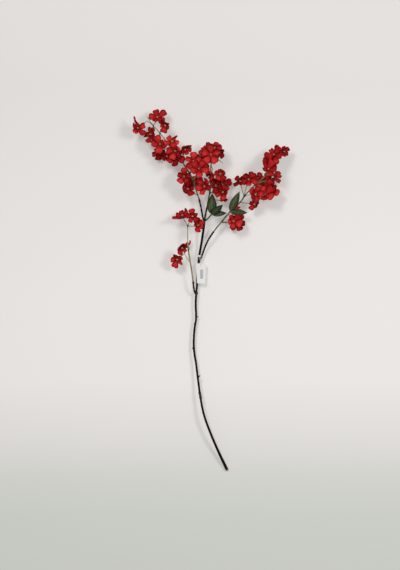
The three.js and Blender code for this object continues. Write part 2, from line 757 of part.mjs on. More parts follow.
function spray(lower, twig, spurs, blossoms, pegs) {
  const { end, way } = endOf(lower);
  const plug = rod(
    end.clone().addScaledVector(way, -PLUG_LENGTH),
    end.clone().addScaledVector(way, PLUG_ROOT),
    [PLUG_RADIUS, PLUG_RADIUS],
    TWIG_SIDES,
  );
  const radii = [TWIG_RADIUS, TWIG_RADIUS, TWIG_UPPER_RADIUS, TWIG_TIP_RADIUS];
  return wasm.Manifold.union([
    limb(sprayRoute(lower, twig), radii, TWIG_SIDES, TWIG_STEP),
    plug,
    ...spurs.map((points) => limb(points, SPUR_RADII, PEDICEL_SIDES, TWIG_STEP)),
    ...pegs.map(({ from, to }) => rod(vector(from), vector(to), PEG_RADII, TWIG_SIDES)),
    ...blossoms.map(stalk),
  ]);
}

// Leaves

// A blade with pointed ends, toothed edges and a rib, bent along its length
function blade(base, { length, halfWidth, heading, rise, bend, roll }) {
  const rad = THREE.MathUtils.degToRad;
  const side = new THREE.Vector3(-Math.sin(rad(heading)), Math.cos(rad(heading)), 0);
  const points = [];
  const centre = base.clone();
  for (let i = 0; i <= LEAF_SECTIONS; i += 1) {
    const t = i / LEAF_SECTIONS;
    const pitch = rad(rise + bend * t);
    const way = new THREE.Vector3(
      Math.cos(rad(heading)) * Math.cos(pitch),
      Math.sin(rad(heading)) * Math.cos(pitch),
      Math.sin(pitch),
    );
    if (i > 0) {
      centre.addScaledVector(way, length / LEAF_SECTIONS);
    }
    const across = side.clone().applyAxisAngle(way, rad(roll));
    const up = new THREE.Vector3().crossVectors(way, across);
    const tooth = i % 2 ? 1 : LEAF_NOTCH;
    const outline = Math.max(0, Math.sin(Math.PI * t ** LEAF_WIDEST)) ** LEAF_FULLNESS;
    const half = Math.max(LEAF_POINT_HALF_WIDTH, halfWidth * tooth * outline);
    for (const [sideways, face] of [[-1, 1], [0, 1], [1, 1], [1, -1], [0, -1], [-1, -1]]) {
      const lift = Math.abs(sideways) * half * LEAF_FOLD + (face * LEAF_THICKNESS) / 2;
      points.push(centre.clone().addScaledVector(across, sideways * half).addScaledVector(up, lift));
    }
  }
  const ring = 6;
  const triangles = [];
  const quad = (a, b, c, d) => triangles.push([a, c, b], [a, d, c]);
  for (let i = 0; i < LEAF_SECTIONS; i += 1) {
    const low = i * ring;
    const high = low + ring;
    quad(low, low + 1, high + 1, high);
    quad(low + 2, high + 2, high + 1, low + 1);
    quad(low + 5, high + 5, high + 4, low + 4);
    quad(low + 3, low + 4, high + 4, high + 3);
    quad(low + 2, low + 3, high + 3, high + 2);
    quad(low + 5, low, high, high + 5);
  }
  const cap = (low, flip) => [[0, 5, 4], [0, 4, 1], [1, 4, 3], [1, 3, 2]].forEach(([a, b, c]) => {
    triangles.push(flip ? [low + a, low + b, low + c] : [low + a, low + c, low + b]);
  });
  cap(0, false);
  cap(LEAF_SECTIONS * ring, true);
  return toSolid(indexedGeometry(points, triangles));
}

// Leaves joined in a small sleeve, which slips over the peg
function leafSet({ peg, leaves }) {
  const tip = vector(peg.to);
  const way = tip.clone().sub(vector(peg.from)).normalize();
  const mouth = tip.clone().addScaledVector(way, -SLEEVE_BELOW_TIP);
  const crown = tip.clone().addScaledVector(way, SLEEVE_ABOVE_TIP);
  const sleeve = rod(mouth, crown, SLEEVE_RADII, TWIG_SIDES);
  const bore = rod(
    mouth.clone().addScaledVector(way, -SOCKET_MARGIN),
    tip.clone().addScaledVector(way, GAP),
    [SLEEVE_BORE_RADIUS, SLEEVE_BORE_RADIUS],
    TWIG_SIDES,
  );
  const root = crown.clone().addScaledVector(way, -LEAF_ROOT_DEPTH);
  return wasm.Manifold.union([sleeve, ...leaves.map((leaf) => blade(root, leaf))]).subtract(bore);
}

// Tag

// The card, its top edge through [0, 0], with a hole for the thread
function tag() {
  const [top, foot] = [TAG_WIDTH / 2, TAG_FOOT_WIDTH / 2];
  const outline = new THREE.Shape();
  outline.moveTo(-foot + TAG_CORNER, -TAG_LENGTH);
  outline.lineTo(foot - TAG_CORNER, -TAG_LENGTH);
  outline.quadraticCurveTo(foot, -TAG_LENGTH, foot, -TAG_LENGTH + TAG_CORNER);
  outline.lineTo(top, -TAG_CORNER);
  outline.quadraticCurveTo(top, 0, top - TAG_CORNER, 0);
  outline.lineTo(-top + TAG_CORNER, 0);
  outline.quadraticCurveTo(-top, 0, -top, -TAG_CORNER);
  outline.lineTo(-foot, -TAG_LENGTH + TAG_CORNER);
  outline.quadraticCurveTo(-foot, -TAG_LENGTH, -foot + TAG_CORNER, -TAG_LENGTH);
  const hole = new THREE.Path();
  hole.absarc(0, -TAG_HOLE_DROP, TAG_HOLE_RADIUS, 0, 2 * Math.PI, true);
  outline.holes.push(hole);
  return new THREE.ExtrudeGeometry(outline, {
    depth: TAG_THICKNESS, bevelEnabled: false, curveSegments: TAG_CORNER_SEGMENTS,
  });
}

// A closed thread: through the hole, over the fork, round the stem and back under the card
const THREAD_ROUTE = [
  [-72, 565.5, 16.6], [-72, 565.5, 19.8], [-73, 574, 20.3], [-76.5, 585, 19.9], [-81.7, 592, 17],
  [-82.3, 595, 13.3], [-77.2, 597.5, 9], [-73, 597.5, 10.4], [-72, 597, 13.6], [-72.4, 590, 17.8],
  [-72, 577, 17], [-71.6, 570, 16],
];

function thread() {
  const curve = new THREE.CatmullRomCurve3(THREAD_ROUTE.map(vector), true, 'centripetal');
  const { normals, binormals } = curve.computeFrenetFrames(THREAD_STEPS, true);
  const points = [];
  const triangles = [];
  for (let i = 0; i < THREAD_STEPS; i += 1) {
    const centre = curve.getPointAt(i / THREAD_STEPS);
    const next = (i + 1) % THREAD_STEPS;
    for (let j = 0; j < THREAD_SIDES; j += 1) {
      const angle = (j / THREAD_SIDES) * 2 * Math.PI;
      points.push(centre.clone()
        .addScaledVector(normals[i], Math.cos(angle) * THREAD_RADIUS)
        .addScaledVector(binormals[i], Math.sin(angle) * THREAD_RADIUS));
      const [a, b] = [i * THREAD_SIDES + j, i * THREAD_SIDES + ((j + 1) % THREAD_SIDES)];
      const [c, d] = [next * THREAD_SIDES + j, next * THREAD_SIDES + ((j + 1) % THREAD_SIDES)];
      triangles.push([a, b, d], [a, d, c]);
    }
  }
  return indexedGeometry(points, triangles);
}

// Assembly

const number = (i) => String(i + 1).padStart(2, '0');
const sprays = [
  { side: 'left', lower: LOWER_LEFT, twig: LEFT_TWIG, spurs: [LEFT_SPUR], list: LEFT_BLOSSOMS },
  { side: 'middle', lower: LOWER_MIDDLE, twig: MIDDLE_TWIG, spurs: [MIDDLE_SPUR], list: MIDDLE_BLOSSOMS },
  { side: 'right', lower: LOWER_RIGHT, twig: RIGHT_TWIG, spurs: [], list: RIGHT_BLOSSOMS },
  { side: 'low', lower: LOWER_LOW, twig: LOW_TWIG, spurs: [LOW_SPUR], list: LOW_BLOSSOMS },
];
for (const { side, list } of sprays) {
  list.forEach((blossom, i) => {
    blossom.name = `blossom_${side}_${number(i)}`;
    blossom.petal = blossom.petals.reduce((sum, length) => sum + length) / PETAL_COUNT;
  });
}
const blossoms = sprays.flatMap(({ list }) => list);
settle(blossoms, [
  { points: MAIN, radius: STEM_BALL },
  ...sprays.map(({ lower }) => ({ points: lower, radius: LOWER_BALL })),
  ...sprays.map(({ lower, twig }) => ({ points: sprayRoute(lower, twig), radius: TWIG_BALL })),
]);

// A resting blossom is let down until its lowest petal touches the surface
function rest({ geometry, centre }) {
  geometry.computeBoundingBox();
  const drop = geometry.boundingBox.min.z;
  geometry.translate(0, 0, -drop);
  centre.z -= drop;
}

for (const [i, blossom] of blossoms.entries()) {
  blossom.geometry = corolla(blossom, seededRandom(SEED + i));
  if (RESTING.includes(blossom.name)) {
    rest(blossom);
  }
}

const branch = new THREE.Group();
branch.add(piece('wood', toGeometry(wood()), BARK));
for (const { side, lower, twig, spurs, list } of sprays) {
  const pegs = side === 'right' ? [LEAF_SETS[1].peg] : [];
  branch.add(piece(`spray_${side}`, toGeometry(spray(lower, twig, spurs, list, pegs)), TWIG));
}
for (const { name, geometry } of blossoms) {
  branch.add(piece(name, geometry, PETAL));
}
for (const set of LEAF_SETS) {
  branch.add(piece(set.name, toGeometry(leafSet(set)), LEAF));
}
const card = piece('hang_tag', tag(), CARD);
card.position.set(TAG_TOP.x, TAG_TOP.y, STEM_HEIGHT_UNDER_TAG + STEM_RADIUS_UNDER_TAG + GAP);
branch.add(card, piece('tag_thread', thread(), THREAD));

const box = new THREE.Box3().setFromObject(branch);
branch.position.set(-(box.min.x + box.max.x) / 2, -(box.min.y + box.max.y) / 2, -box.min.z);

export default branch;
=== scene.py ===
"""Looks of the cherry blossom branch: fabric flowers, leaves, moulded twigs, bark, tag and thread.

Metres, in the frame of the CAD solids. Each finished piece replaces the solid whose place it takes,
and its place is read from that solid.
"""

import math

import bmesh
import bpy
import numpy as np
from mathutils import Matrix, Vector, noise
from mathutils.bvhtree import BVHTree


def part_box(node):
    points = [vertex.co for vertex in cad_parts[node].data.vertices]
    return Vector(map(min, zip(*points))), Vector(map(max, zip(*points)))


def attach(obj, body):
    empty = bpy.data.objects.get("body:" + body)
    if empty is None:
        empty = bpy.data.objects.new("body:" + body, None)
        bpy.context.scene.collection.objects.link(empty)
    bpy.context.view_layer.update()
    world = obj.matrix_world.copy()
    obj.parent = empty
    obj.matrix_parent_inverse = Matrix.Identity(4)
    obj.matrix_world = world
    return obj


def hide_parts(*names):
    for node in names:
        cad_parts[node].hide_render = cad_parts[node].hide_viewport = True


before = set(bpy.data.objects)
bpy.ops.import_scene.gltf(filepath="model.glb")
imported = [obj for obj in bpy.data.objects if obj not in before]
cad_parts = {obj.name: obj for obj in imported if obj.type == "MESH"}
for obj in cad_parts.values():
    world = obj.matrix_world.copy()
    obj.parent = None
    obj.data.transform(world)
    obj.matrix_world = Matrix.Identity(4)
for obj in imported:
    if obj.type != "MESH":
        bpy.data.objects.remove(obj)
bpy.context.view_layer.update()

MM = 0.001
SEED = 4127

# Camera: it looks straight down, over a field as high as the picture at the branch's mean height
PICTURE = (400, 570)
PIXEL = 2.75 * MM
PICTURE_MIDDLE = (-75.1, 510.7, 30)
LENS = 135
SENSOR = 36

# Lights: place, how wide they are, and their power; what they aim at, and the even fill
LIGHTS = {"light_left": ((-0.85, 1.3, 2.3), 0.75, 31), "light_right": ((1.43, 0.8, 2.1), 0.75, 27)}
LIGHT_AIM = (0.0, 0.1, 0.0)
FILL = 0.27

# Floor: its size, how far it lies under the branch, how much of it is paper and how much it glows (painted
# light that pales the shadows), and its tones, painted light brighter in the middle, from this far beyond
# the middle on the cut end's side to as far on the other side
FLOOR_SIZE = 8.0
FLOOR_DROP = 0.1 * MM
FLOOR_PAPER = 0.7
FLOOR_PAINTED_GLOW = 0.37
FLOOR_FADE = 0.62
FLOOR_PAINTED_LIGHT = [
    (0.0, (0.67, 0.69, 0.64)), (0.08, (0.71, 0.712, 0.676)), (0.17, (0.795, 0.777, 0.75)),
    (0.3, (0.855, 0.828, 0.805)), (0.48, (0.82, 0.793, 0.773)), (0.65, (0.775, 0.75, 0.73)),
    (0.81, (0.735, 0.712, 0.692)), (0.95, (0.7, 0.678, 0.66)),
]

# Petals: flat outline of half a petal, from the cleft to the notch, as parts of its length and degrees
PETALS = 5
PETAL_EDGE = [(0.5, 36), (0.64, 35), (0.8, 32), (0.93, 24.5), (0.99, 15), (1.0, 8), (0.98, 3), (0.95, 0)]
HALF_COLUMNS = 8
PETAL_RINGS = 12
HOLE_RADIUS = 1.6 * MM
PETAL_SKIN = 0.34 * MM
SURFACE_CLEARANCE = 0.3 * MM

# Bends of a petal, as parts of its length: where it starts to bend, how much longer it is than it
# looks from the front, and the depth and width of its crease, its valley and its cupped foot
HINGE = 0.42
FULLNESS = 1.1
LONGEST_PROFILE = 1.7
CREASE = (0.016, 0.035)
VALLEY = (0.03, 0.22)
FOOT_CUP = 0.45

# Tones of a petal: its foot, how much lighter its outer part is and how dark the centre and the clefts
# are, painted light and shade in the flower's hollow and between its petals. Its veins fan out from the
# rib.
PETAL_TONE = 0.7
OUTER_LIGHT = 0.2
CENTRE_SHADE = 0.3
CLEFT_SHADE = 0.42
FAN_VEINS = 5
FAN_HEIGHT = 0.6
RIB_WIDTH = 0.02

# How flowers and their petals differ: spread of the tones, and shares of folded and drooping petals
FLOWER_SPREAD = 0.05
PETAL_SPREAD = 0.09
FOLDED_SHARE = 0.25
DROOPING_SHARE = 0.22
POINTED_FORM = {"tilt": 0.08, "tip": 0.1, "folded": 4.2, "narrower": 0.6}

# Petals that are folded to a point: the way that each points in plan (degrees) and its reach (mm)
POINTED = {
    "left_02": [(38, 17)], "left_03": [(114, 35)], "left_04": [(97, 22)], "left_07": [(47, 23)],
    "left_09": [(53, 27)], "left_05": [(60, 17)], "middle_04": [(20, 17)], "middle_07": [(314, 31)],
    "right_10": [(40, 20)], "right_16": [(300, 16)], "low_01": [(220, 33)], "low_02": [(30, 17)],
    "low_04": [(90, 19), (205, 16)], "low_05": [(117, 21), (319, 22)], "low_06": [(27, 17)],
}

# Rings of points in the CAD solid of a blossom, from its axis outwards, and their place on a petal
POINTS_PER_RING = 10
CLEFT_ANGLE = 36
MIDDLE_PART = 0.55
NOTCH_PART = 0.97

# Moulded parts: size of the voxels, passes of smoothing, and how far they grow after it
TWIG_VOXEL = 0.45 * MM
TWIG_SMOOTHING = 5
TWIG_GROWTH = 0.34 * MM
BARK_VOXEL = 0.5 * MM
BARK_SMOOTHING = 9
BARK_GROWTH = 0.36 * MM

# The CAD tufts become pin heads: where the tufts are, how much narrower the heads are, their height
TUFT_HEIGHTS = (1.6 * MM, 4 * MM)
TUFT_RADIUS = 3.6 * MM
HEAD_PART = 0.36
HEAD_HEIGHT = 1.9 * MM

# Tones of a spray: pale thin stalks and darker thick twigs, dark nodes, dark calyxes and pale pins
STALK_TONE = 0.88
TWIG_DARKER = 0.34
STALK_THICKNESS, TWIG_THICKNESS = 2.3 * MM, 3.4 * MM
NODE_DARKER = 0.6
CALYX_TONE = 0.42
CALYX_REACH = (5 * MM, 8 * MM)
PIN_REACH = 3.2 * MM

# Stamens and sepals
STAMENS = 11
STAMEN_LENGTH = (3.0 * MM, 5.4 * MM)
STAMEN_RADIUS = 0.24 * MM
STAMEN_SPREAD = 46
STAMEN_TURN = 137.5
STAMEN_FOOT = 0.6 * MM
ANTHER_RADIUS = 0.62 * MM
SEPAL_LENGTH = 7 * MM
SEPAL_HALF_WIDTH = 1.5 * MM
SEPAL_SKIN = 0.4 * MM
SEPAL_ROWS = 6
SEPAL_START = 0.8 * MM
SEPAL_DROP = 0.75 * MM
SEPAL_KEEL = 0.25 * MM

# Leaves: the peg that carries each set, from the branch's cut end, and its blades
# A blade's last two values darken its right half and its tip: painted shade on the folded blade's far
# half, and on tips that curl and lie under the flowers.
BLADE_VALUES = ("length", "half_width", "heading", "rise", "bend", "roll", "dark_right", "dark_tip")
LEAF_SETS = {
    "leaves_middle": {
        "peg": [(-49, 698, 31), (-44, 704, 32)],
        "blades": [
            (57, 13, 88.5, 12, -20, 0, 0.12, 0.25), (43, 10.5, 40, 38, -36, 24, 0.2, 0.7),
            (44, 8.5, 3, 4, 30, -20, -0.1, 0.7),
        ],
    },
    "leaves_right": {
        "peg": [(6, 710.5, 29.5), (7.5, 712, 36)],
        "blades": [(61.5, 11, 65, 12, -26, 0, 0.2, 0.15), (48, 9, -4, 10, -18, 18, 0.1, 0.3)],
    },
}
LEAF_SKIN = 0.4 * MM
LEAF_ROWS = 96
LEAF_COLUMNS = 16
LEAF_TEETH = 15
LEAF_WIDEST = 0.75
LEAF_POINT = 0.5 * MM
LEAF_FOLD = 0.22
LEAF_VEINS = 9
LEAF_VEIN_SLANT = 1.25
LEAF_PILLOW = 0.45 * MM
LEAF_WAVE = 0.5 * MM
LEAF_RIB = 0.55 * MM
LEAF_TONE = 0.55
LEAF_EDGE_DARKER = 0.5
SLEEVE_BELOW, SLEEVE_ABOVE = 3.5 * MM, 2.5 * MM
SLEEVE_RADII = (2.2 * MM, 1.9 * MM)
SLEEVE_FORM = (0.9, 1.06, 1.0, 0.98, 1.0, 0.98, 1.0, 0.95, 0.55)
BLADES_UNDER_CROWN = 0.8 * MM

# Tag and its thread
TAG_TOP = (-72 * MM, 570 * MM)
TAG_WIDTH, TAG_FOOT_WIDTH, TAG_LENGTH = 26.5 * MM, 22 * MM, 55 * MM
TAG_CORNER = 2 * MM
TAG_SKIN = 0.45 * MM
TAG_HOLE_RADIUS, TAG_HOLE_DROP = 1.7 * MM, 4.5 * MM
TAG_GRID = 2.2 * MM
TAG_DROOP = 1.8 * MM
TAG_DROOP_FROM = 9 * MM
TAG_FOOT_RISE = 1.4 * MM

# Blank print: even bars, from and to this far down the card, between these sides
PRINT_PITCH, PRINT_FIRST, PRINT_LAST = 2.8 * MM, 17.5 * MM, 42.7 * MM
PRINT_SIDES = (-3 * MM, 5.5 * MM)

# Thread: its route from the branch's cut end, its two plies, and its winding round the stem
THREAD_ROUTE = [
    (-72, 565.5, 16.6), (-72, 565.5, 19.8), (-73, 574, 20.3), (-76.5, 585, 19.9), (-81.7, 592, 17),
    (-82.3, 595, 13.3), (-77.2, 597.5, 9), (-73, 597.5, 10.4), (-72, 597, 13.6), (-72.4, 590, 17.8),
    (-72, 577, 17), (-71.6, 570, 16),
]
PLY_RADIUS = 0.3 * MM
PLY_TURNS = 26
WINDING = [(-77.6, 588.5, 14), (-76.9, 593.2, 14)]
WINDING_TURNS = 6
WINDING_RADIUS = 4.2 * MM


# The part of a noise's range that counts in tones and roughness
GRAIN = (0.3, 0.7)

# Colours of the small moulded parts, from dark to light tones
STAMEN_COLOURS = [
    (0.0, (0.2, 0.13, 0.04)), (0.3, (0.52, 0.36, 0.13)), (0.6, (0.78, 0.6, 0.3)), (1.0, (0.8, 0.36, 0.13)),
]
SEPAL_COLOURS = [(0.0, (0.09, 0.03, 0.02)), (0.5, (0.14, 0.09, 0.035)), (1.0, (0.25, 0.2, 0.09))]


# Small helpers

def smoothstep(low, high, value):
    t = np.clip((value - low) / (high - low), 0, 1)
    return t * t * (3 - 2 * t)


def bell(value, width):
    """One where the value is nought, and little beyond the width."""
    return np.exp(-((value / width) ** 2))


def unit(vectors):
    return vectors / np.maximum(np.linalg.norm(vectors, axis=-1, keepdims=True), 1e-12)


def turned(angle, first, second):
    """The way that lies at an angle from the first one towards the second one."""
    return np.cos(angle) * first + np.sin(angle) * second


def cut_end():
    """The branch's cut end in the frame, read from the tag, whose place from it is known."""
    low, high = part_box("hang_tag")
    return np.array(((low.x + high.x) / 2 - TAG_TOP[0], high.y - TAG_TOP[1], 0))


CUT_END = cut_end()


def from_cut_end(point):
    return np.array(point, float) * MM + CUT_END


def new_object(name, data, material=None):
    obj = bpy.data.objects.new(name, data)
    bpy.context.scene.collection.objects.link(obj)
    if material:
        data.materials.append(material)
    return obj


def apply_modifiers(obj):
    evaluated = obj.evaluated_get(bpy.context.evaluated_depsgraph_get())
    obj.data = bpy.data.meshes.new_from_object(evaluated)
    obj.modifiers.clear()


def dress(obj, slot, *nodes):
    """The piece rides on the branch's only body and replaces nodes; its slot is not used."""
    obj.data.polygons.foreach_set("use_smooth", [True] * len(obj.data.polygons))
    obj.data.set_sharp_from_angle(angle=math.radians(60))
    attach(obj, "root")
    if nodes:
        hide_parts(*nodes)
    return obj


def mesh_from(name, points, faces):
    mesh = bpy.data.meshes.new(name)
    mesh.from_pydata(np.asarray(points).reshape(-1, 3).tolist(), [], [tuple(f) for f in faces])
    mesh.update()
    return mesh


def two_sided(sheet, around, skin):
    """Points of the upper and the lower side of a sheet; around is how it goes on along its rows."""
    normal = unit(np.cross(np.gradient(sheet, axis=0), around))
    return np.concatenate([(sheet + side * skin / 2 * normal).reshape(-1, 3) for side in (1, -1)])


def sheet_faces(rows, wide, ring=False):
    """Faces of a sheet with an upper side, a lower side and a rim; a ring closes on itself."""
    under, faces = wide * (rows + 1), []
    for r in range(rows):
        for c in range(wide if ring else wide - 1):
            a, b = r * wide + c, r * wide + (c + 1) % wide
            faces.append((a, a + wide, b + wide, b))
            faces.append((a + under, b + under, b + wide + under, a + wide + under))
    first, last = list(range(wide)), [rows * wide + c for c in range(wide - 1, -1, -1)]
    right = [r * wide + wide - 1 for r in range(1, rows)]
    left = [r * wide for r in range(rows - 1, 0, -1)]
    for rim in (first, last) if ring else (first + right + last + left,):
        faces += [(a, b, b + under, a + under) for a, b in zip(rim, rim[1:] + rim[:1])]
    return faces


def paint(mesh, name, values):
    """A number for each vertex, which the material reads."""
    attribute = mesh.attributes.new(name, "FLOAT", "POINT")
    attribute.data.foreach_set("value", np.asarray(values, np.float32).ravel())


def lay_out(mesh, coordinates):
    """A UV map from one pair of numbers for each vertex."""
    layer = mesh.uv_layers.new(name="flat")
    corners = np.empty(len(mesh.loops), int)
    mesh.loops.foreach_get("vertex_index", corners)
    layer.data.foreach_set("uv", np.asarray(coordinates, np.float32).reshape(-1, 2)[corners].ravel())


def of_vertices(mesh, what="co"):
    """The coordinates of a mesh's vertices, or their normals."""
    values = np.empty(len(mesh.vertices) * 3)
    mesh.vertices.foreach_get(what, values)
    return values.reshape(-1, 3)


def noise_at(points, size, seed=0.0):
    """Smooth noise from -1 to 1 at each point; size is the size of its lumps, one or three numbers."""
    scaled = points / np.asarray(size) + seed
    return np.array([noise.noise(p) for p in scaled.tolist()])


class Batch:
    """Points, faces and painted values of many small forms, joined in one mesh."""

    def __init__(self):
        self.points, self.faces, self.tones = [], [], []
        self.count = 0

    def add(self, points, faces, tone):
        points = np.asarray(points).reshape(-1, 3)
        self.points.append(points)
        self.faces.extend(tuple(i + self.count for i in face) for face in faces)
        self.tones.append(np.broadcast_to(tone, len(points)))
        self.count += len(points)

    def piece(self, name, material):
        mesh = mesh_from(name, np.concatenate(self.points), self.faces)
        paint(mesh, "tone", np.concatenate(self.tones))
        return new_object(name, mesh, material)


def tube(centres, radii, sides, closed=False):
    """Points and faces of a round bar through the centres, with flat ends unless it is closed."""
    centres = np.asarray(centres, float)
    if closed:
        ways = unit(np.roll(centres, -1, 0) - np.roll(centres, 1, 0))
    else:
        ways = unit(np.gradient(centres, axis=0))
    across = np.cross(ways[0], (0.3, 0.5, 0.8))
    angles = np.arange(sides) * 2 * math.pi / sides
    rings = []
    for centre, way, radius in zip(centres, ways, np.broadcast_to(radii, len(centres))):
        across = unit(across - way * across.dot(way))
        rings.append(centre + radius * turned(angles[:, None], across, np.cross(way, across)))
    points = np.concatenate(rings)
    count = len(centres)
    faces = []
    for i in range(count if closed else count - 1):
        low, high = i * sides, (i + 1) % count * sides
        for j in range(sides):
            k = (j + 1) % sides
            faces.append((low + j, low + k, high + k, high + j))
    if not closed:
        faces.append(tuple(range(sides))[::-1])
        faces.append(tuple(range((count - 1) * sides, count * sides)))
    return points, faces


def smooth_route(points, steps, closed=False):
    """A rounded line through the points, with steps points from each to the next."""
    points = np.asarray(points, float)
    count = len(points)
    line = []
    for i in range(count if closed else count - 1):
        near = np.arange(i - 1, i + 3)
        a, b, c, d = points[near % count if closed else np.clip(near, 0, count - 1)]
        for t in np.arange(steps) / steps:
            line.append(0.5 * (2 * b + (c - a) * t + (2 * a - 5 * b + 4 * c - d) * t ** 2
                               + (3 * b - a - 3 * c + d) * t ** 3))
    if not closed:
        line.append(points[-1])
    return np.array(line)


# Materials

class Paint:
    """A Principled material, and short ways to add nodes to it."""

    def __init__(self, name, **sockets):
        self.material = bpy.data.materials.new(name)
        self.material.use_nodes = True
        self.tree = self.material.node_tree
        self.surface = self.tree.nodes["Principled BSDF"]
        for key, value in sockets.items():
            self.surface.inputs[key.replace("_", " ")].default_value = value

    def node(self, kind, inputs=(), **settings):
        made = self.tree.nodes.new("ShaderNode" + kind)
        for key, value in settings.items():
            setattr(made, key, value)
        for key, value in dict(inputs).items():
            self.set(made.inputs[key], value)
        return made

    def set(self, socket, value):
        if isinstance(value, bpy.types.NodeSocket):
            self.tree.links.new(value, socket)
        else:
            socket.default_value = value

    def attribute(self, name):
        return self.node("Attribute", attribute_name=name).outputs["Fac"]

    def toned(self, grain, low, high):
        """The painted tone, with grain added that goes from low to high."""
        return self.math("ADD", self.attribute("tone"), self.between(grain, *GRAIN, low, high))

    def place(self):
        return self.node("TexCoord").outputs["Object"]

    def flat(self):
        return self.node("UVMap", uv_map="flat").outputs["UV"]

    def stretched(self, vector, scale):
        return self.node("Mapping", {"Vector": vector, "Scale": scale}).outputs["Vector"]

    def noise(self, vector, size, detail=3.0, roughness=0.5):
        inputs = {"Vector": vector, "Scale": 1 / size, "Detail": detail, "Roughness": roughness}
        return self.node("TexNoise", inputs).outputs["Fac"]

    def bands(self, vector, size, direction, distortion=0.0):
        inputs = {"Vector": vector, "Scale": 0.314 / size, "Distortion": distortion, "Detail": 1.0}
        wave = self.node("TexWave", inputs, wave_type="BANDS", bands_direction=direction)
        return wave.outputs["Fac"]

    def math(self, operation, a, b=0.0):
        return self.node("Math", {0: a, 1: b}, operation=operation).outputs[0]

    def between(self, value, low, high, start=0.0, end=1.0):
        inputs = {"Value": value, "From Min": low, "From Max": high, "To Min": start, "To Max": end}
        return self.node("MapRange", inputs).outputs["Result"]

    def ramp(self, value, stops):
        made = self.node("ValToRGB", {"Fac": value})
        ramp = made.color_ramp
        while len(ramp.elements) < len(stops):
            ramp.elements.new(0.5)
        for element, (position, colour) in zip(ramp.elements, stops):
            element.position = position
            element.color = (*colour, 1)
        return made.outputs["Color"]

    def mix(self, part, a, b):
        made = self.node("Mix", data_type="RGBA")
        for socket, value in zip((made.inputs[0], made.inputs[6], made.inputs[7]), (part, a, b)):
            self.set(socket, (*value, 1) if isinstance(value, tuple) and len(value) == 3 else value)
        return made.outputs[2]

    def colour(self, value):
        self.set(self.surface.inputs["Base Color"], value)

    def roughness(self, grain, low, high):
        self.set(self.surface.inputs["Roughness"], self.between(grain, *GRAIN, low, high))

    def relief(self, *layers):
        """Bumps, each a height and its depth in metres, one on another."""
        normal = None
        for height, depth in layers:
            inputs = {"Height": height, "Distance": depth, "Strength": 1.0}
            if normal:
                inputs["Normal"] = normal
            normal = self.node("Bump", inputs).outputs["Normal"]
        self.set(self.surface.inputs["Normal"], normal)


def weave(paint, size):
    """Height of a plain weave, in the flat cut of the cloth, whose coordinates are in metres."""
    flat = paint.flat()
    warp = paint.bands(flat, size, "X", 0.6)
    weft = paint.bands(flat, size, "Y", 0.6)
    return paint.math("MAXIMUM", warp, weft)


def petal_paint():
    paint = Paint(
        "petal_cloth", Sheen_Weight=0.06, Sheen_Roughness=0.45, Specular_IOR_Level=0.1,
        Subsurface_Weight=0.3, Subsurface_Radius=(1.0, 0.12, 0.1), Subsurface_Scale=1.5 * MM,
    )
    paint.surface.inputs["Sheen Tint"].default_value = (1.0, 0.2, 0.2, 1)
    threads = weave(paint, 0.45 * MM)
    patches = paint.noise(paint.flat(), 3.5 * MM)
    # The ramp's darkest tones carry painted shade, and its palest, pinker tones carry painted highlights.
    dye_and_painted_light = paint.ramp(paint.toned(patches, -0.09, 0.09), [
        (0.0, (0.014, 0.0003, 0.0005)), (0.3, (0.075, 0.0009, 0.0015)), (0.6, (0.25, 0.003, 0.005)),
        (0.85, (0.44, 0.012, 0.014)), (1.0, (0.6, 0.04, 0.036)),
    ])
    # Darker between the threads: painted shade in the weave's gaps.
    paint.colour(paint.mix(paint.between(threads, 0, 1, 0.18, 0.0), dye_and_painted_light, (0.08, 0.001, 0.002)))
    paint.roughness(patches, 0.6, 0.78)
    paint.relief((paint.attribute("vein"), 0.22 * MM), (threads, 0.07 * MM))
    return paint.material


def moulded_paint(name, shine, colours, size, change, roughness, depth):
    """Plastic with a fine grain: the size of its lumps, how much they change the tone, their depth."""
    paint = Paint(name, Specular_IOR_Level=shine)
    grain = paint.noise(paint.place(), size)
    paint.colour(paint.ramp(paint.toned(grain, -change, change), colours))
    paint.roughness(grain, *roughness)
    paint.relief((grain, depth))
    return paint.material


def twig_paint():
    paint = Paint("twig_plastic", Specular_IOR_Level=0.25)
    place = paint.place()
    grain = paint.noise(paint.stretched(place, (1, 0.35, 1)), 1.4 * MM, 5.0, 0.6)
    blotches = paint.noise(place, 6 * MM, 3.0)
    tone = paint.math("ADD", paint.attribute("tone"), paint.between(blotches, 0.35, 0.65, -0.16, 0.16))
    body = paint.ramp(tone, [
        (0.0, (0.014, 0.008, 0.005)), (0.3, (0.07, 0.052, 0.024)), (0.62, (0.21, 0.17, 0.075)),
        (1.0, (0.45, 0.37, 0.2)),
    ])
    specks = paint.between(grain, 0.55, 0.68, 0.0, 0.65)
    paint.colour(paint.mix(specks, body, (0.05, 0.028, 0.016)))
    paint.roughness(grain, 0.42, 0.68)
    paint.relief((grain, 0.25 * MM))
    return paint.material


def bark_paint():
    paint = Paint("bark_plastic", Specular_IOR_Level=0.12)
    place = paint.place()
    long_grain = paint.noise(paint.stretched(place, (1, 0.18, 1)), 1.1 * MM, 5.0, 0.62)
    rings = paint.noise(paint.stretched(place, (0.3, 1, 0.3)), 1.6 * MM, 4.0)
    paint.colour(paint.ramp(paint.toned(long_grain, -0.18, 0.2), [
        (0.0, (0.0015, 0.0008, 0.0006)), (0.3, (0.006, 0.003, 0.002)), (0.6, (0.05, 0.027, 0.018)),
        (1.0, (0.2, 0.115, 0.07)),
    ]))
    paint.roughness(long_grain, 0.45, 0.7)
    paint.relief((long_grain, 0.4 * MM), (rings, 0.25 * MM))
    return paint.material


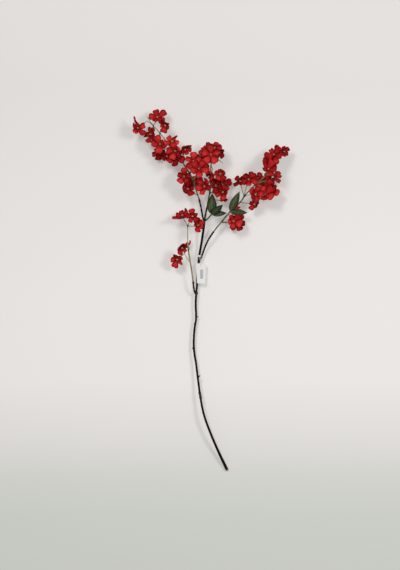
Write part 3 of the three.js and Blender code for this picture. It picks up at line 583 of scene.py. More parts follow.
def leaf_paint():
    paint = Paint("leaf_cloth", Sheen_Weight=0.03, Sheen_Roughness=0.5, Specular_IOR_Level=0.2)
    threads = weave(paint, 0.4 * MM)
    patches = paint.noise(paint.flat(), 5 * MM, 4.0)
    vein = paint.attribute("vein")
    blade = paint.ramp(paint.toned(patches, -0.24, 0.24), [
        (0.0, (0.004, 0.0055, 0.003)), (0.4, (0.03, 0.043, 0.014)), (0.75, (0.1, 0.13, 0.045)),
        (1.0, (0.17, 0.2, 0.08)),
    ])
    veined = paint.mix(paint.math("MULTIPLY", vein, 0.55), blade, (0.19, 0.22, 0.1))
    # Darker between the threads: painted shade in the weave's gaps.
    paint.colour(paint.mix(paint.between(threads, 0, 1, 0.18, 0.0), veined, (0.01, 0.016, 0.006)))
    paint.roughness(patches, 0.5, 0.7)
    paint.relief((vein, 0.2 * MM), (threads, 0.05 * MM))
    return paint.material


def card_paint():
    """White card with nine even dark bars on it, which say nothing."""
    paint = Paint("tag_card", Specular_IOR_Level=0.3)
    flat = paint.flat()
    fibres = paint.noise(flat, 0.9 * MM, 5.0, 0.65)
    split = paint.node("SeparateXYZ", {"Vector": flat})
    across, down = split.outputs["X"], split.outputs["Y"]
    stripe = paint.math("DIVIDE", paint.math("SUBTRACT", down, PRINT_FIRST), PRINT_PITCH)
    inked = paint.math("LESS_THAN", paint.math("FRACT", stripe), 0.5)
    for value, low, high in ((down, PRINT_FIRST, PRINT_LAST), (across, *PRINT_SIDES)):
        inked = paint.math("MULTIPLY", inked, paint.math("GREATER_THAN", value, low))
        inked = paint.math("MULTIPLY", inked, paint.math("LESS_THAN", value, high))
    paper = paint.ramp(fibres, [(0.3, (0.78, 0.77, 0.75)), (0.7, (0.85, 0.845, 0.83))])
    paint.colour(paint.mix(paint.math("MULTIPLY", inked, 0.92), paper, (0.06, 0.075, 0.07)))
    paint.roughness(fibres, 0.55, 0.75)
    paint.relief((fibres, 0.04 * MM))
    return paint.material


def thread_paint():
    paint = Paint("tag_thread_cotton", Sheen_Weight=0.3, Sheen_Roughness=0.5, Specular_IOR_Level=0.25)
    fluff = paint.noise(paint.place(), 0.35 * MM, 4.0, 0.6)
    paint.colour(paint.ramp(fluff, [(0.3, (0.72, 0.7, 0.66)), (0.7, (0.9, 0.89, 0.86))]))
    paint.roughness(fluff, 0.8, 0.95)
    paint.relief((fluff, 0.06 * MM))
    return paint.material


def floor_paint():
    """Pale paper that glows a little, painted light that pales the shadows, with painted light along it:
    brighter in the middle, darker at both ends.
    """
    paint = Paint("floor_paper", Specular_IOR_Level=0.2, Emission_Strength=FLOOR_PAINTED_GLOW)
    mottle = paint.noise(paint.place(), 0.25, 3.0)
    # Painted light: the paper is brighter in the middle and darker towards both ends, and its glow lifts
    # the shadows.
    down = paint.node("SeparateXYZ", {"Vector": paint.place()}).outputs["Y"]
    place = paint.between(down, -FLOOR_FADE, FLOOR_FADE)
    place = paint.math("ADD", place, paint.between(mottle, 0, 1, -0.01, 0.01))
    paper = paint.ramp(place, FLOOR_PAINTED_LIGHT)
    paint.colour(paint.mix(1 - FLOOR_PAPER, paper, (0.0, 0.0, 0.0)))
    paint.set(paint.surface.inputs["Emission Color"], paper)
    paint.roughness(mottle, 0.85, 0.92)
    return paint.material


# Blossoms

class Blossom:
    """Place, axes, petal length and curl of a blossom, read from the rings of its CAD solid."""

    def __init__(self, name):
        self.name = name
        points = np.unique(np.round(of_vertices(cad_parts[name].data), 7), axis=0)
        middle = points.mean(0)
        self.axis = np.linalg.svd(points - middle)[2][2]
        hole = self.by_distance(points, middle)[:POINTS_PER_RING]
        self.centre = hole.mean(0)
        self.axis = np.linalg.svd(hole - self.centre)[2][2]
        if (points - self.centre).mean(0).dot(self.axis) < 0:
            self.axis = -self.axis
        rings = self.by_distance(points, self.centre)
        clefts = rings[POINTS_PER_RING:2 * POINTS_PER_RING] - self.centre
        middles = rings[2 * POINTS_PER_RING:3 * POINTS_PER_RING] - self.centre
        self.first = unit(np.cross(self.axis, (0.31, 0.53, 0.79)))
        self.second = np.cross(self.axis, self.first)
        angles = np.arctan2(clefts @ self.second, clefts @ self.first) - math.radians(CLEFT_ANGLE)
        phase = np.angle(np.exp(1j * PETALS * angles).sum()) / PETALS
        self.first = turned(phase, self.first, self.second)
        self.second = np.cross(self.axis, self.first)
        height = (middles @ self.axis).mean()
        radial = np.hypot(middles @ self.first, middles @ self.second).mean()
        self.cup = math.atan2(height, radial) * 2 / MIDDLE_PART
        self.petal = radial * self.cup / math.sin(MIDDLE_PART * self.cup)
        self.petals = self.petal_lengths(rings[3 * POINTS_PER_RING:] - self.centre)

    def petal_lengths(self, edge):
        """Length of each petal, from the notch in the middle of its edge."""
        across, along = edge @ self.second, edge @ self.first
        turns = np.arctan2(across, along) / (2 * math.pi / PETALS)
        curl = np.clip(np.hypot(across, along) * self.cup / self.petal, 0, 0.999)
        reach = np.arcsin(curl) * self.petal / self.cup
        off_middle = np.abs(turns - np.round(turns))
        lengths = []
        for k in range(PETALS):
            own = np.where(np.round(turns).astype(int) % PETALS == k, off_middle, 9.0)
            lengths.append(reach[np.argsort(own)[:2]].mean() / NOTCH_PART)
        return lengths

    def by_distance(self, points, middle):
        """The points, those nearest to the blossom's axis first."""
        away = points - middle
        away = away - np.outer(away @ self.axis, self.axis)
        return points[np.argsort(np.linalg.norm(away, axis=1), kind="stable")]

    def placed(self, local):
        """Points in the frame, from points along the blossom's own three axes."""
        return self.centre + np.asarray(local) @ np.array((self.first, self.second, self.axis))

    def local(self, points):
        return (points - self.centre) @ np.array((self.first, self.second, self.axis)).T


def petal_outline():
    """Reach (parts of the petal) and angle of each column of one petal, from cleft to next cleft."""
    corners = [(r * math.cos(math.radians(a)), r * math.sin(math.radians(a))) for r, a in PETAL_EDGE]
    line = smooth_route(corners, 24)
    lengths = np.concatenate(([0], np.cumsum(np.linalg.norm(np.diff(line, axis=0), axis=1))))
    wanted = np.linspace(0, lengths[-1], HALF_COLUMNS + 1)
    half = np.stack([np.interp(wanted, lengths, line[:, i]) for i in (0, 1)], 1)
    reach = np.hypot(half[:, 0], half[:, 1])
    angle = np.arctan2(half[:, 1], half[:, 0])
    return np.concatenate((reach, reach[-2:0:-1])), np.concatenate((-angle, angle[-2:0:-1]))


def petal_profile(blossom, tilt, tip):
    """How far out and up a petal goes along its length, as parts of the mean length."""
    parts = np.linspace(0, LONGEST_PROFILE, 171)
    slope = blossom.cup * parts + tilt * smoothstep(HINGE, HINGE + 0.25, parts)
    slope = slope + tip * smoothstep(0.65, 1.0, parts)
    step = blossom.petal * (parts[1] - parts[0])
    ways = np.stack((np.cos(slope), np.sin(slope)))
    out, up = np.cumsum((ways[:, 1:] + ways[:, :-1]) / 2 * step, axis=1)
    return parts, np.append(0, out), np.append(0, up)


def pointed_petals(blossom):
    """Petals that are folded to a point, by number: their reach, and how far they swing aside."""
    found = {}
    turns = np.arange(PETALS) * 2 * math.pi / PETALS
    plans = turned(turns[:, None], blossom.first, blossom.second)[:, :2]
    for way, reach in POINTED.get(blossom.name.replace("blossom_", ""), ()):
        wanted = np.array((math.cos(math.radians(way)), math.sin(math.radians(way)), 0))
        k = int(np.argmax(unit(plans) @ wanted[:2]))
        swing = math.atan2(wanted @ blossom.second, wanted @ blossom.first) - turns[k]
        found[k] = reach * MM, math.remainder(swing, 2 * math.pi)
    return found


def petal_form(plan, random):
    """How one petal bends and fades; plan is its length seen from the front, of the mean length."""
    tilt = max(0.0, 0.85 * math.acos(min(plan / 1.1, 1)) + random.normal(-0.05, 0.15))
    reach = min(HINGE + (FULLNESS * plan - HINGE) / math.cos(0.85 * tilt), 1.35)
    folded = random.uniform(2.0, 3.6) if random.uniform() < FOLDED_SHARE else random.uniform(0.2, 1.5)
    return {
        "tilt": -tilt if random.uniform() < DROOPING_SHARE else tilt, "tip": random.normal(-0.1, 0.5),
        "reach": reach, "folded": folded, "narrower": 0.0, "swing": 0.0,
        "twist": random.normal(0, 0.14), "shade": random.normal(0, PETAL_SPREAD),
        # How dark its edge is: painted shade where the rim curls away.
        "edging": random.uniform(0.0, 0.3), "ruffle": random.uniform(0.02, 0.05),
        "waves": random.uniform(2.0, 3.8), "phase": random.uniform(0, 2 * math.pi),
    }


def petal_lift(part, rows, side, angle, form):
    """How far each point of a petal is lifted off the curve of its rib, as a part of its length."""
    free = smoothstep(HINGE, HINGE + 0.3, part)
    rolled = form["folded"] * free + 0.01
    lift = (1 - np.cos(rolled * side)) / rolled + FOOT_CUP * side ** 2 * (1 - free)
    lift = lift + form["twist"] * side * free
    lift = lift - CREASE[0] * bell(side, CREASE[1]) * smoothstep(0.15, 0.4, part)
    lift = lift - VALLEY[0] * smoothstep(0.1, 0.35, part) * bell(side, VALLEY[1])
    rim = smoothstep(0.72, 1.0, rows) * free
    return lift + form["ruffle"] * rim * np.sin(form["waves"] * angle * PETALS + form["phase"])


def petal_veins(part, rows, side, angle):
    """Nought on the rib and on the veins that fan out beside it, one between them."""
    fan = np.cos(FAN_VEINS * angle * PETALS) ** 6 * smoothstep(0.2, 0.45, part)
    fan = fan * (1 - smoothstep(0.82, 0.98, rows))
    rib = bell(side, RIB_WIDTH) * smoothstep(0.12, 0.3, part)
    return 1 - np.maximum(FAN_HEIGHT * fan, rib)


def petal_tone(part, rows, angle, form):
    """Painted light and shade: lighter outwards, with a dark edge, dark clefts and a dark centre."""
    cleft = smoothstep(0.45, 1.0, np.abs(angle) * PETALS / math.pi)
    tone = PETAL_TONE + form["shade"] * smoothstep(HINGE, HINGE + 0.3, part)
    tone = tone + OUTER_LIGHT * smoothstep(0.3, 0.7, part)
    tone = tone - form["edging"] * smoothstep(0.75, 1.0, rows) * smoothstep(0.42, 0.6, part)
    tone = tone - CENTRE_SHADE * (1 - smoothstep(0.1, 0.34, part))
    return tone - CLEFT_SHADE * cleft * smoothstep(0.15, 0.45, part)


def petal_sheet(blossom, k, form):
    """The middle sheet of one petal, and the tone, veins and flat place of each of its points."""
    edge, angle = petal_outline()
    rows = np.linspace(0, 1, PETAL_RINGS + 1)[:, None]
    hole = HOLE_RADIUS / blossom.petal
    length = edge * (1 + (form["reach"] - 1) * smoothstep(0.5, 0.72, edge))
    part = hole + (length - hole) * rows
    parts, out, up = petal_profile(blossom, form["tilt"], form["tip"])
    radial = np.interp(part, parts, out) / blossom.petal
    height = np.interp(part, parts, up) / blossom.petal
    side = radial * np.sin(angle)
    rolled = form["folded"] * smoothstep(HINGE, HINGE + 0.3, part) + 0.01
    across = np.sin(rolled * side) / rolled * (1 - form["narrower"] * smoothstep(0.5, 1.1, part))
    along = radial * np.cos(angle)
    way = math.radians(k * 360 / PETALS)
    swung = way + form["swing"] * smoothstep(HINGE, 0.95, part)
    sheet = np.stack((
        turned(swung, along, -across), turned(swung, across, along),
        height + petal_lift(part, rows, side, angle, form),
    ), -1) * blossom.petal
    flat = np.stack((part * np.cos(angle + way), part * np.sin(angle + way)), -1) * blossom.petal
    return sheet, petal_tone(part, rows, angle, form), petal_veins(part, rows, side, angle), flat


def flower(blossom, random, material):
    """One die-cut of five joined petals, curled, creased and ruffled, with two faces and a rim."""
    level, pointed = random.normal(0.0, FLOWER_SPREAD), pointed_petals(blossom)
    grids = []
    for k, length in enumerate(blossom.petals):
        form = petal_form(length / blossom.petal, random)
        if k in pointed:
            reach, swing = pointed[k]
            form.update(POINTED_FORM, swing=swing, reach=reach / blossom.petal)
        grids.append(petal_sheet(blossom, k, form))
    sheet, tone, vein, flat = (np.concatenate(grid, 1) for grid in zip(*grids))
    around = np.roll(sheet, -1, 1) - np.roll(sheet, 1, 1)
    points = blossom.placed(two_sided(sheet, around, PETAL_SKIN))
    points[:, 2] = np.maximum(points[:, 2], SURFACE_CLEARANCE)
    name = blossom.name.replace("blossom", "petals")
    mesh = mesh_from(name, points, sheet_faces(PETAL_RINGS, sheet.shape[1], ring=True))
    paint(mesh, "tone", np.tile(tone.ravel() + level, 2))
    paint(mesh, "vein", np.tile(vein.ravel(), 2))
    lay_out(mesh, np.tile(flat.reshape(-1, 2), (2, 1)))
    return dress(new_object(name, mesh, material), "petal", blossom.name)


def add_stamens(batch, blossom, random):
    """A tuft of curved filaments, each with an anther, round the head of the blossom's pin."""
    spin, paler = random.uniform(0, 2 * math.pi), random.uniform(-0.4, 0.12)
    size_of_tuft = random.uniform(0.6, 0.98)
    ball, ball_faces = small_ball()
    steps = np.linspace(0, 1, 5)[:, None]
    for i in range(STAMENS):
        lean = math.radians(STAMEN_SPREAD) * math.sqrt((i + 0.5) / STAMENS) * random.uniform(0.8, 1.15)
        way = spin + i * math.radians(STAMEN_TURN)
        length = random.uniform(*STAMEN_LENGTH) * size_of_tuft
        bent = lean * (0.55 + 0.45 * steps)
        out = 0.55 * MM * (i / STAMENS) + length * steps * np.sin(bent)
        up = STAMEN_FOOT + length * steps * np.cos(bent)
        line = np.concatenate((out * math.cos(way), out * math.sin(way), up), 1)
        points, faces = tube(line, STAMEN_RADIUS * np.linspace(1.25, 0.8, 5), 4)
        batch.add(blossom.placed(points), faces, 0.5 + paler + random.uniform(-0.1, 0.14))
        size = ANTHER_RADIUS * random.uniform(0.8, 1.15)
        anther = ball * (size, size, size * 1.35) + line[-1]
        batch.add(blossom.placed(anther), ball_faces, paler + random.uniform(0.5, 0.95))


def small_ball():
    """Points and faces of a ball of radius one."""
    bm = bmesh.new()
    bmesh.ops.create_icosphere(bm, subdivisions=1, radius=1)
    points = np.array([v.co for v in bm.verts])
    faces = [tuple(v.index for v in f.verts) for f in bm.faces]
    bm.free()
    return points, faces


def add_sepals(batch, blossom, random):
    """Five pointed sepals under the petals, which follow the curl of the petals' backs."""
    steps, u = np.linspace(0, 1, SEPAL_ROWS + 1)[:, None], np.array((-1, 0, 1))
    side = u * SEPAL_HALF_WIDTH * np.sin(math.pi * (0.28 + 0.72 * steps)) ** 0.8
    for k in range(PETALS):
        way = math.radians(CLEFT_ANGLE + k * 360 / PETALS)
        length = SEPAL_LENGTH * random.uniform(0.85, 1.1)
        bend = blossom.cup * (SEPAL_START + length * steps) / blossom.petal
        radial = blossom.petal / blossom.cup * np.sin(bend)
        height = blossom.petal / blossom.cup * (1 - np.cos(bend)) - SEPAL_DROP
        sheet = np.stack((
            turned(way, radial, -side), turned(way, side, radial), height - SEPAL_KEEL * (1 - np.abs(u)),
        ), -1)
        points = np.stack([sheet + (0, 0, face * SEPAL_SKIN) for face in (0.5, -0.5)])
        tone = np.repeat(0.75 - 0.7 * steps, 3) + random.uniform(-0.1, 0.1)
        batch.add(blossom.placed(points), sheet_faces(SEPAL_ROWS, 3), np.tile(tone, 2))


# Moulded stem and sprays

# Dark nodes on the twigs, from the cut end: their place, reach and how far they swell
TWIG_NODES = [
    ((-203.8, 947.9, 28), 5, 0.9), ((-184, 929.5, 28), 5, 0.9), ((-156, 890, 29), 5, 0.6),
    ((-103.4, 818.7, 32), 6, 1.0), ((-94.3, 795, 32), 4, 0.5), ((-12.1, 687, 28), 6, 1.0),
    ((-46, 810, 37), 5, 0.6), ((-48, 764, 35), 5, 0.6), ((46, 754, 30), 6, 0.8), ((78, 787, 28), 6, 0.8),
    ((105, 814, 27), 5, 0.7), ((-109, 673, 30), 5, 0.6), ((-107, 607, 30), 4, 0.5),
]

# How much paler each spray is than the mean
TWIG_SHADES = {"spray_left": -0.02, "spray_middle": -0.12, "spray_right": -0.02, "spray_low": 0.12}

# Dark side branches with nodes one after another: route in plan, pitch, swelling, and how brown
# their gaps are
NODED_BRANCHES = [
    ([(-79, 572), (-71, 588), (-64, 608), (-52, 636), (-38, 657)], 7, 0.75, 0.2),
    ([(-63, 685), (-68, 699), (-71, 718), (-78, 748)], 13, 0.4, 0.34),
    ([(-63, 685), (-61, 699), (-58, 713), (-56, 724)], 12, 0.4, 0.3),
    ([(-86, 484), (-91, 496), (-94, 520)], 14, 0.3, 0.2),
]

# Places where the dark stem is browner: its cut end, a collar and its knots; their reach, and how much
BROWN_PLACES = [
    ((0, 0, 3), 9, 0.5), ((-74.7, 207, 23.6), 11, 0.42), ((-92, 336, 14.5), 5, 0.28),
    ((-89, 403, 13), 5, 0.3), ((-84, 488, 14), 6, 0.4), ((-64, 680, 29), 6, 0.25),
    ((-81, 254, 19), 5, 0.2), ((-86, 424, 13), 5, 0.25),
]


def on_route(points, route):
    """How far along a route each point is, and how far off it, both in plan."""
    places = [from_cut_end((x, y, 0))[:2] for x, y in route]
    off = np.full(len(points), 1.0)
    along, start = np.zeros(len(points)), 0.0
    for a, b in zip(places, places[1:]):
        length = np.linalg.norm(b - a)
        way = (b - a) / length
        part = np.clip((points[:, :2] - a) @ way, 0, length)
        away = np.linalg.norm(points[:, :2] - a - part[:, None] * way, axis=1)
        nearer = away < off
        off[nearer], along[nearer] = away[nearer], (start + part)[nearer]
        start += length
    return along, off


def away_from(points, place):
    return np.linalg.norm(points - from_cut_end(place), axis=1)


def remeshed(name, node, material, voxel, passes, reshape=None):
    """The solid of a node as one smooth skin of small quads: object, mesh, points and normals."""
    bm = bmesh.new()
    bm.from_mesh(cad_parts[node].data)
    bmesh.ops.remove_doubles(bm, verts=bm.verts, dist=0.002 * MM)
    if reshape:
        reshape(bm)
    mesh = bpy.data.meshes.new(name)
    bm.to_mesh(mesh)
    bm.free()
    obj = new_object(name, mesh)
    voxels = obj.modifiers.new("voxels", "REMESH")
    voxels.mode = "VOXEL"
    voxels.voxel_size = voxel
    smooth = obj.modifiers.new("smooth", "SMOOTH")
    smooth.iterations = passes
    smooth.factor = 0.5
    apply_modifiers(obj)
    obj.data.materials.append(material)
    return obj, obj.data, of_vertices(obj.data), of_vertices(obj.data, "normal")


def move(mesh, points):
    mesh.vertices.foreach_set("co", np.asarray(points, np.float32).ravel())
    mesh.update()


def thickness_at(mesh, limit):
    """How thick the form is at each vertex, up to a limit: the way to the skin on its far side."""
    tree = BVHTree.FromPolygons([v.co for v in mesh.vertices], [p.vertices for p in mesh.polygons])
    found = np.full(len(mesh.vertices), limit)
    for i, vertex in enumerate(mesh.vertices):
        inward = -vertex.normal
        hit = tree.ray_cast(vertex.co + inward * 0.02 * MM, inward, limit)
        if hit[3] is not None:
            found[i] = hit[3]
    return found


def spray(node, blossoms, material):
    """A twig with its stalks and calyxes, moulded in one. Tufts become small pin heads."""

    def small_heads(bm):
        for vertex in bm.verts:
            for blossom in blossoms:
                x, y, height = blossom.local(np.array(vertex.co))
                if TUFT_HEIGHTS[0] < height < TUFT_HEIGHTS[1] and math.hypot(x, y) < TUFT_RADIUS:
                    head = np.array((x * HEAD_PART, y * HEAD_PART, HEAD_HEIGHT))
                    vertex.co = Vector(blossom.placed(head))

    obj, mesh, points, normals = remeshed(
        node.replace("spray", "twig"), node, material, TWIG_VOXEL, TWIG_SMOOTHING, small_heads)
    thick = thickness_at(mesh, 5 * MM)
    grow = TWIG_GROWTH + 0.18 * MM * noise_at(points, (2.2 * MM, 3.4 * MM, 2.2 * MM), 3.7)
    dark = np.zeros(len(points))
    for place, reach, swelling in TWIG_NODES:
        distance = away_from(points, place)
        grow = grow + swelling * MM * 0.6 * bell(distance, reach * 0.5 * MM)
        dark = np.maximum(dark, bell(distance, reach * MM))
    points = points + normals * grow[:, None]
    move(mesh, points)
    nearest = np.full(len(points), 1.0)
    for blossom in blossoms:
        nearest = np.minimum(nearest, np.linalg.norm(points - blossom.centre, axis=1))
    tone = STALK_TONE - TWIG_DARKER * smoothstep(STALK_THICKNESS, TWIG_THICKNESS, thick)
    tone = tone + 0.2 * noise_at(points, 9 * MM, 9.1) - NODE_DARKER * dark + TWIG_SHADES[node]
    calyx = 1 - smoothstep(*CALYX_REACH, nearest)
    tone = tone * (1 - calyx) + CALYX_TONE * calyx
    paint(mesh, "tone", np.where(nearest < PIN_REACH, 1.0, tone))
    return dress(obj, "twig", node)


def bark(material):
    """The dark stem and side branches, lumpy and ridged, with browner knots."""
    obj, mesh, points, normals = remeshed("bark", "wood", material, BARK_VOXEL, BARK_SMOOTHING)
    lumps = noise_at(points, (3.2 * MM, 7.5 * MM, 3.2 * MM), 1.3)
    ridges = noise_at(points, (1.3 * MM, 8 * MM, 1.3 * MM), 5.2)
    grow = BARK_GROWTH + 0.3 * MM * lumps + 0.16 * MM * ridges
    gaps = np.zeros(len(points))
    for route, pitch, swelling, browner in NODED_BRANCHES:
        along, off = on_route(points, route)
        near = 1 - smoothstep(3.5 * MM, 5.5 * MM, off)
        node = bell((along / (pitch * MM)) % 1 - 0.5, 0.17)
        grow = grow + near * swelling * MM * (node - 0.3)
        gaps = np.maximum(gaps, near * browner * (1 - node))
    moved = points + normals * grow[:, None]
    moved[:, 2] = np.maximum(moved[:, 2], 0.0)
    move(mesh, moved)
    # Lighter mottle, more on the lumps' crowns: partly the bark's own mottle, partly painted highlights.
    tone = 0.18 + 0.14 * noise_at(points, 14 * MM, 2.9) + 0.1 * lumps
    for place, reach, browner in BROWN_PLACES:
        tone = tone + browner * bell(away_from(points, place), reach * MM)
    paint(mesh, "tone", tone + gaps)
    return dress(obj, "bark", "wood")


# Leaves

def leaf_spine(root, values):
    """The rib of a leaf, row by row, and the ways across the leaf and up from it."""
    heading, roll = math.radians(values["heading"]), math.radians(values["roll"])
    t = np.linspace(0, 1, LEAF_ROWS + 1)
    pitch = np.radians(values["rise"] + values["bend"] * t)
    ways = np.stack((
        math.cos(heading) * np.cos(pitch), math.sin(heading) * np.cos(pitch), np.sin(pitch),
    ), -1)
    step = values["length"] * MM / LEAF_ROWS
    centres = root + np.concatenate(([[0, 0, 0]], np.cumsum(ways[1:] * step, 0)))
    level = np.array((-math.sin(heading), math.cos(heading), 0.0))
    across = turned(roll, level, np.cross(ways, level))
    return centres, across, np.cross(ways, across)


def blade(batch, root, values, random):
    """One leaf: pointed, toothed, folded on its rib, with pillowed side veins."""
    centres, across, ups = leaf_spine(root, values)
    t = np.linspace(0, 1, LEAF_ROWS + 1)[:, None]
    u = np.linspace(-1, 1, LEAF_COLUMNS + 1)[None, :]
    outline = np.maximum(np.sin(math.pi * t ** LEAF_WIDEST), 0) ** 0.9
    half = np.maximum(LEAF_POINT, values["half_width"] * MM * outline)
    side = u * half * (0.97 + 0.09 * (t * LEAF_TEETH % 1) * np.abs(u) ** 8)
    pillow = np.abs(np.sin(math.pi * (t * LEAF_VEINS - np.abs(u) * LEAF_VEIN_SLANT))) ** 0.6
    edge = smoothstep(0.05, 0.3, np.abs(u)) * (1 - smoothstep(0.85, 1.0, np.abs(u)))
    lift = np.abs(u) * half * LEAF_FOLD + (pillow - 0.6) * LEAF_PILLOW * edge * outline
    phase = random.uniform(0, 6)
    lift = lift + LEAF_WAVE * np.abs(u) ** 2 * np.sin(t * 9 + phase + (u > 0) * 2)
    sheet = centres[:, None] + side[..., None] * across[:, None] + lift[..., None] * ups[:, None]
    side_vein = bell(pillow, 0.32) * (1 - smoothstep(0.8, 0.97, np.abs(u)))
    vein = np.maximum(0.55 * side_vein, bell(u * half, LEAF_RIB))
    shade = LEAF_TONE - LEAF_EDGE_DARKER * smoothstep(0.6, 1.0, np.abs(u))
    # Painted shade: a darker right half and a darker tip on some blades.
    shade = shade - values["dark_right"] * (u < 0) - values["dark_tip"] * smoothstep(0.55, 0.95, t)
    shade = shade + random.uniform(-0.05, 0.05)
    points = two_sided(sheet, np.gradient(sheet, axis=1), LEAF_SKIN)
    batch.add(points, sheet_faces(LEAF_ROWS, LEAF_COLUMNS + 1), np.tile(shade.ravel(), 2))
    down = np.broadcast_to(t * values["length"] * MM, side.shape)
    flat = np.stack((side, down), -1).reshape(-1, 2)
    return np.tile(vein.ravel(), 2), np.tile(flat, (2, 1))


def leaf_set(name, values, random, material):
    """Blades and the sleeve that joins them on their peg."""
    start, tip = (from_cut_end(p) for p in values["peg"])
    way = unit(tip - start)
    mouth, crown = tip - way * SLEEVE_BELOW, tip + way * SLEEVE_ABOVE
    root = crown - way * BLADES_UNDER_CROWN
    batch, veins, flats = Batch(), [], []
    for row in values["blades"]:
        vein, flat = blade(batch, root, dict(zip(BLADE_VALUES, row)), random)
        veins.append(vein)
        flats.append(flat)
    radii = np.linspace(*SLEEVE_RADII, len(SLEEVE_FORM)) * SLEEVE_FORM
    points, faces = tube(np.linspace(mouth, crown, len(radii)), radii, 16)
    batch.add(points, faces, 0.3)
    veins.append(np.full(len(points), 0.25))
    flats.append(points[:, :2])
    obj = batch.piece(name.replace("leaves", "foliage"), material)
    paint(obj.data, "vein", np.concatenate(veins))
    lay_out(obj.data, np.concatenate(flats))
    return dress(obj, "leaf", name)


# Tag and thread

def arc(x, y, radius, start, turn, count):
    """Points on a circle round (x, y), from a first angle, a turn apart (degrees)."""
    angles = [math.radians(start + step * turn) for step in range(count)]
    return [(x + radius * math.cos(a), y + radius * math.sin(a), 0) for a in angles]


def card_outline():
    """The card's edge, its top through y = 0, and its hole."""
    top, foot = TAG_WIDTH / 2, TAG_FOOT_WIDTH / 2
    edge = []
    for x, y, start in ((-foot, -TAG_LENGTH, 180), (foot, -TAG_LENGTH, 270), (top, 0, 0), (-top, 0, 90)):
        middle = x - math.copysign(TAG_CORNER, x), y + (TAG_CORNER if y < 0 else -TAG_CORNER)
        edge += arc(*middle, TAG_CORNER, start, 15, 7)
    return edge, arc(0, -TAG_HOLE_DROP, TAG_HOLE_RADIUS, 0, 360 / 28, 28)


def card_mesh():
    """The card's flat form with its hole, cut into small squares so that it can bend."""
    bm = bmesh.new()
    edges = []
    for loop in card_outline():
        corners = [bm.verts.new(p) for p in loop]
        edges += [bm.edges.new((a, b)) for a, b in zip(corners, corners[1:] + corners[:1])]
    bmesh.ops.triangle_fill(bm, edges=edges, use_beauty=True, use_dissolve=False)
    for axis, low, high in ((0, -TAG_WIDTH / 2, TAG_WIDTH / 2), (1, -TAG_LENGTH, 0)):
        normal = [float(axis == i) for i in range(3)]
        for place in np.arange(low + TAG_GRID, high, TAG_GRID):
            parts = bm.verts[:] + bm.edges[:] + bm.faces[:]
            point = [place * way for way in normal]
            bmesh.ops.bisect_plane(bm, geom=parts, dist=1e-7, plane_co=point, plane_no=normal)
    bmesh.ops.triangulate(bm, faces=bm.faces)
    bmesh.ops.recalc_face_normals(bm, faces=bm.faces)
    if sum(f.normal.z for f in bm.faces) < 0:
        bmesh.ops.reverse_faces(bm, faces=bm.faces)
    mesh = bpy.data.meshes.new("card")
    bm.to_mesh(mesh)
    bm.free()
    return mesh


def hang_tag(material):
    """A card that droops a little past the stem it lies on, with a softly bent foot."""
    mesh = card_mesh()
    flat = of_vertices(mesh)
    lay_out(mesh, np.stack((flat[:, 0], -flat[:, 1]), -1))
    rise = -TAG_DROOP * (np.maximum(flat[:, 0] + TAG_DROOP_FROM, 0) / TAG_WIDTH) ** 1.5
    rise = rise + TAG_FOOT_RISE * smoothstep(0.6 * TAG_LENGTH, TAG_LENGTH, -flat[:, 1]) ** 1.5
    place = CUT_END + (*TAG_TOP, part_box("hang_tag")[0].z)
    move(mesh, flat + place + rise[:, None] * (0, 0, 1))
    obj = new_object("card", mesh, material)
    skin = obj.modifiers.new("skin", "SOLIDIFY")
    skin.thickness = TAG_SKIN
    skin.offset = 1
    apply_modifiers(obj)
    return dress(obj, "card", "hang_tag")


def plies(batch):
    """Two plies twisted round each other, in a closed loop through the tag and round the stem."""
    line = smooth_route([from_cut_end(p) for p in THREAD_ROUTE], 44, closed=True)
    ways = unit(np.roll(line, -1, 0) - np.roll(line, 1, 0))
    across = unit(np.cross(ways, (0.86, 0.2, 0.47)))
    turn = np.linspace(0, 2 * math.pi * PLY_TURNS, len(line), endpoint=False)[:, None]
    for start in (0, math.pi):
        offset = 0.8 * PLY_RADIUS * turned(turn + start, across, np.cross(ways, across))
        batch.add(*tube(line + offset, PLY_RADIUS, 6, closed=True), 0.5)


def winding(batch):
    """More turns of the thread round the stem and the side branch."""
    start, end = (from_cut_end(p) for p in WINDING)
    turns = np.linspace(0, 2 * math.pi * WINDING_TURNS, 40 * WINDING_TURNS)[:, None]
    way = unit(end - start)
    level = unit(np.cross(way, (0, 0, 1)))
    around = WINDING_RADIUS * turned(turns, level, np.cross(level, way))
    batch.add(*tube(np.linspace(start, end, len(turns)) + around, 1.35 * PLY_RADIUS, 6), 0.5)


def thread(material):
    batch = Batch()
    plies(batch)
    winding(batch)
    return dress(batch.piece("thread", material), "thread", "tag_thread")


# Stage

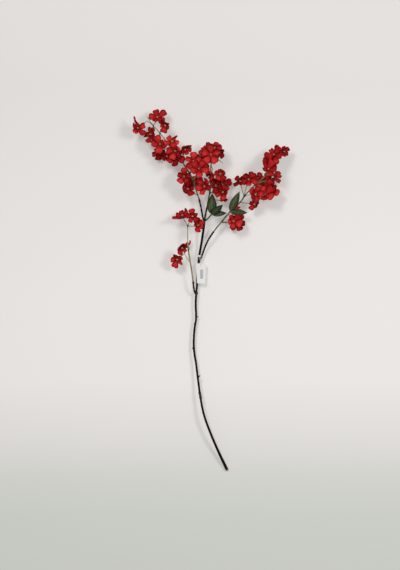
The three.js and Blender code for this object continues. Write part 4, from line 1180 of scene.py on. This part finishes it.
def camera():
    data = bpy.data.cameras.new("camera")
    data.lens, data.sensor_width = LENS, SENSOR
    height = PICTURE[1] * PIXEL * LENS / SENSOR
    data.clip_end = 4 * height
    obj = new_object("camera", data)
    obj.location = from_cut_end(PICTURE_MIDDLE) + (0, 0, height)
    bpy.context.scene.camera = obj


def lights():
    for name, (place, size, power) in LIGHTS.items():
        data = bpy.data.lights.new(name, "AREA")
        data.shape, data.size, data.energy = "DISK", size, power
        obj = new_object(name, data)
        obj.location = place
        aim = Vector(LIGHT_AIM) - obj.location
        obj.rotation_euler = aim.to_track_quat("-Z", "Y").to_euler()
    world = bpy.data.worlds.new("studio")
    world.use_nodes = True
    background = world.node_tree.nodes["Background"]
    background.inputs["Color"].default_value = (1.0, 0.99, 0.98, 1)
    background.inputs["Strength"].default_value = FILL
    bpy.context.scene.world = world


def floor():
    sides = ((-1, -1), (1, -1), (1, 1), (-1, 1))
    corners = [(x * FLOOR_SIZE / 2, y * FLOOR_SIZE / 2, -FLOOR_DROP) for x, y in sides]
    new_object("floor", mesh_from("floor", corners, [(0, 1, 2, 3)]), floor_paint())


# Assembly

bpy.context.scene.view_settings.view_transform = "Standard"
camera()
lights()
floor()

petal_material, twig_material = petal_paint(), twig_paint()
stamen_material = moulded_paint(
    "stamens", 0.35, STAMEN_COLOURS, 0.5 * MM, 0.08, (0.45, 0.7), 0.08 * MM)
sepal_material = moulded_paint(
    "sepal_plastic", 0.4, SEPAL_COLOURS, 1.2 * MM, 0.15, (0.45, 0.65), 0.15 * MM)
random = np.random.default_rng(SEED)
for side in ("left", "middle", "right", "low"):
    names = sorted(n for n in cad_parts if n.startswith(f"blossom_{side}_"))
    blossoms = [Blossom(name) for name in names]
    tufts, calyxes = Batch(), Batch()
    for blossom in blossoms:
        flower(blossom, random, petal_material)
        add_stamens(tufts, blossom, random)
        add_sepals(calyxes, blossom, random)
    dress(tufts.piece(f"stamens_{side}", stamen_material), "twig")
    dress(calyxes.piece(f"sepals_{side}", sepal_material), "twig")
    spray(f"spray_{side}", blossoms, twig_material)
bark(bark_paint())
leaf_material = leaf_paint()
for name, values in LEAF_SETS.items():
    leaf_set(name, values, random, leaf_material)
hang_tag(card_paint())
thread(thread_paint())
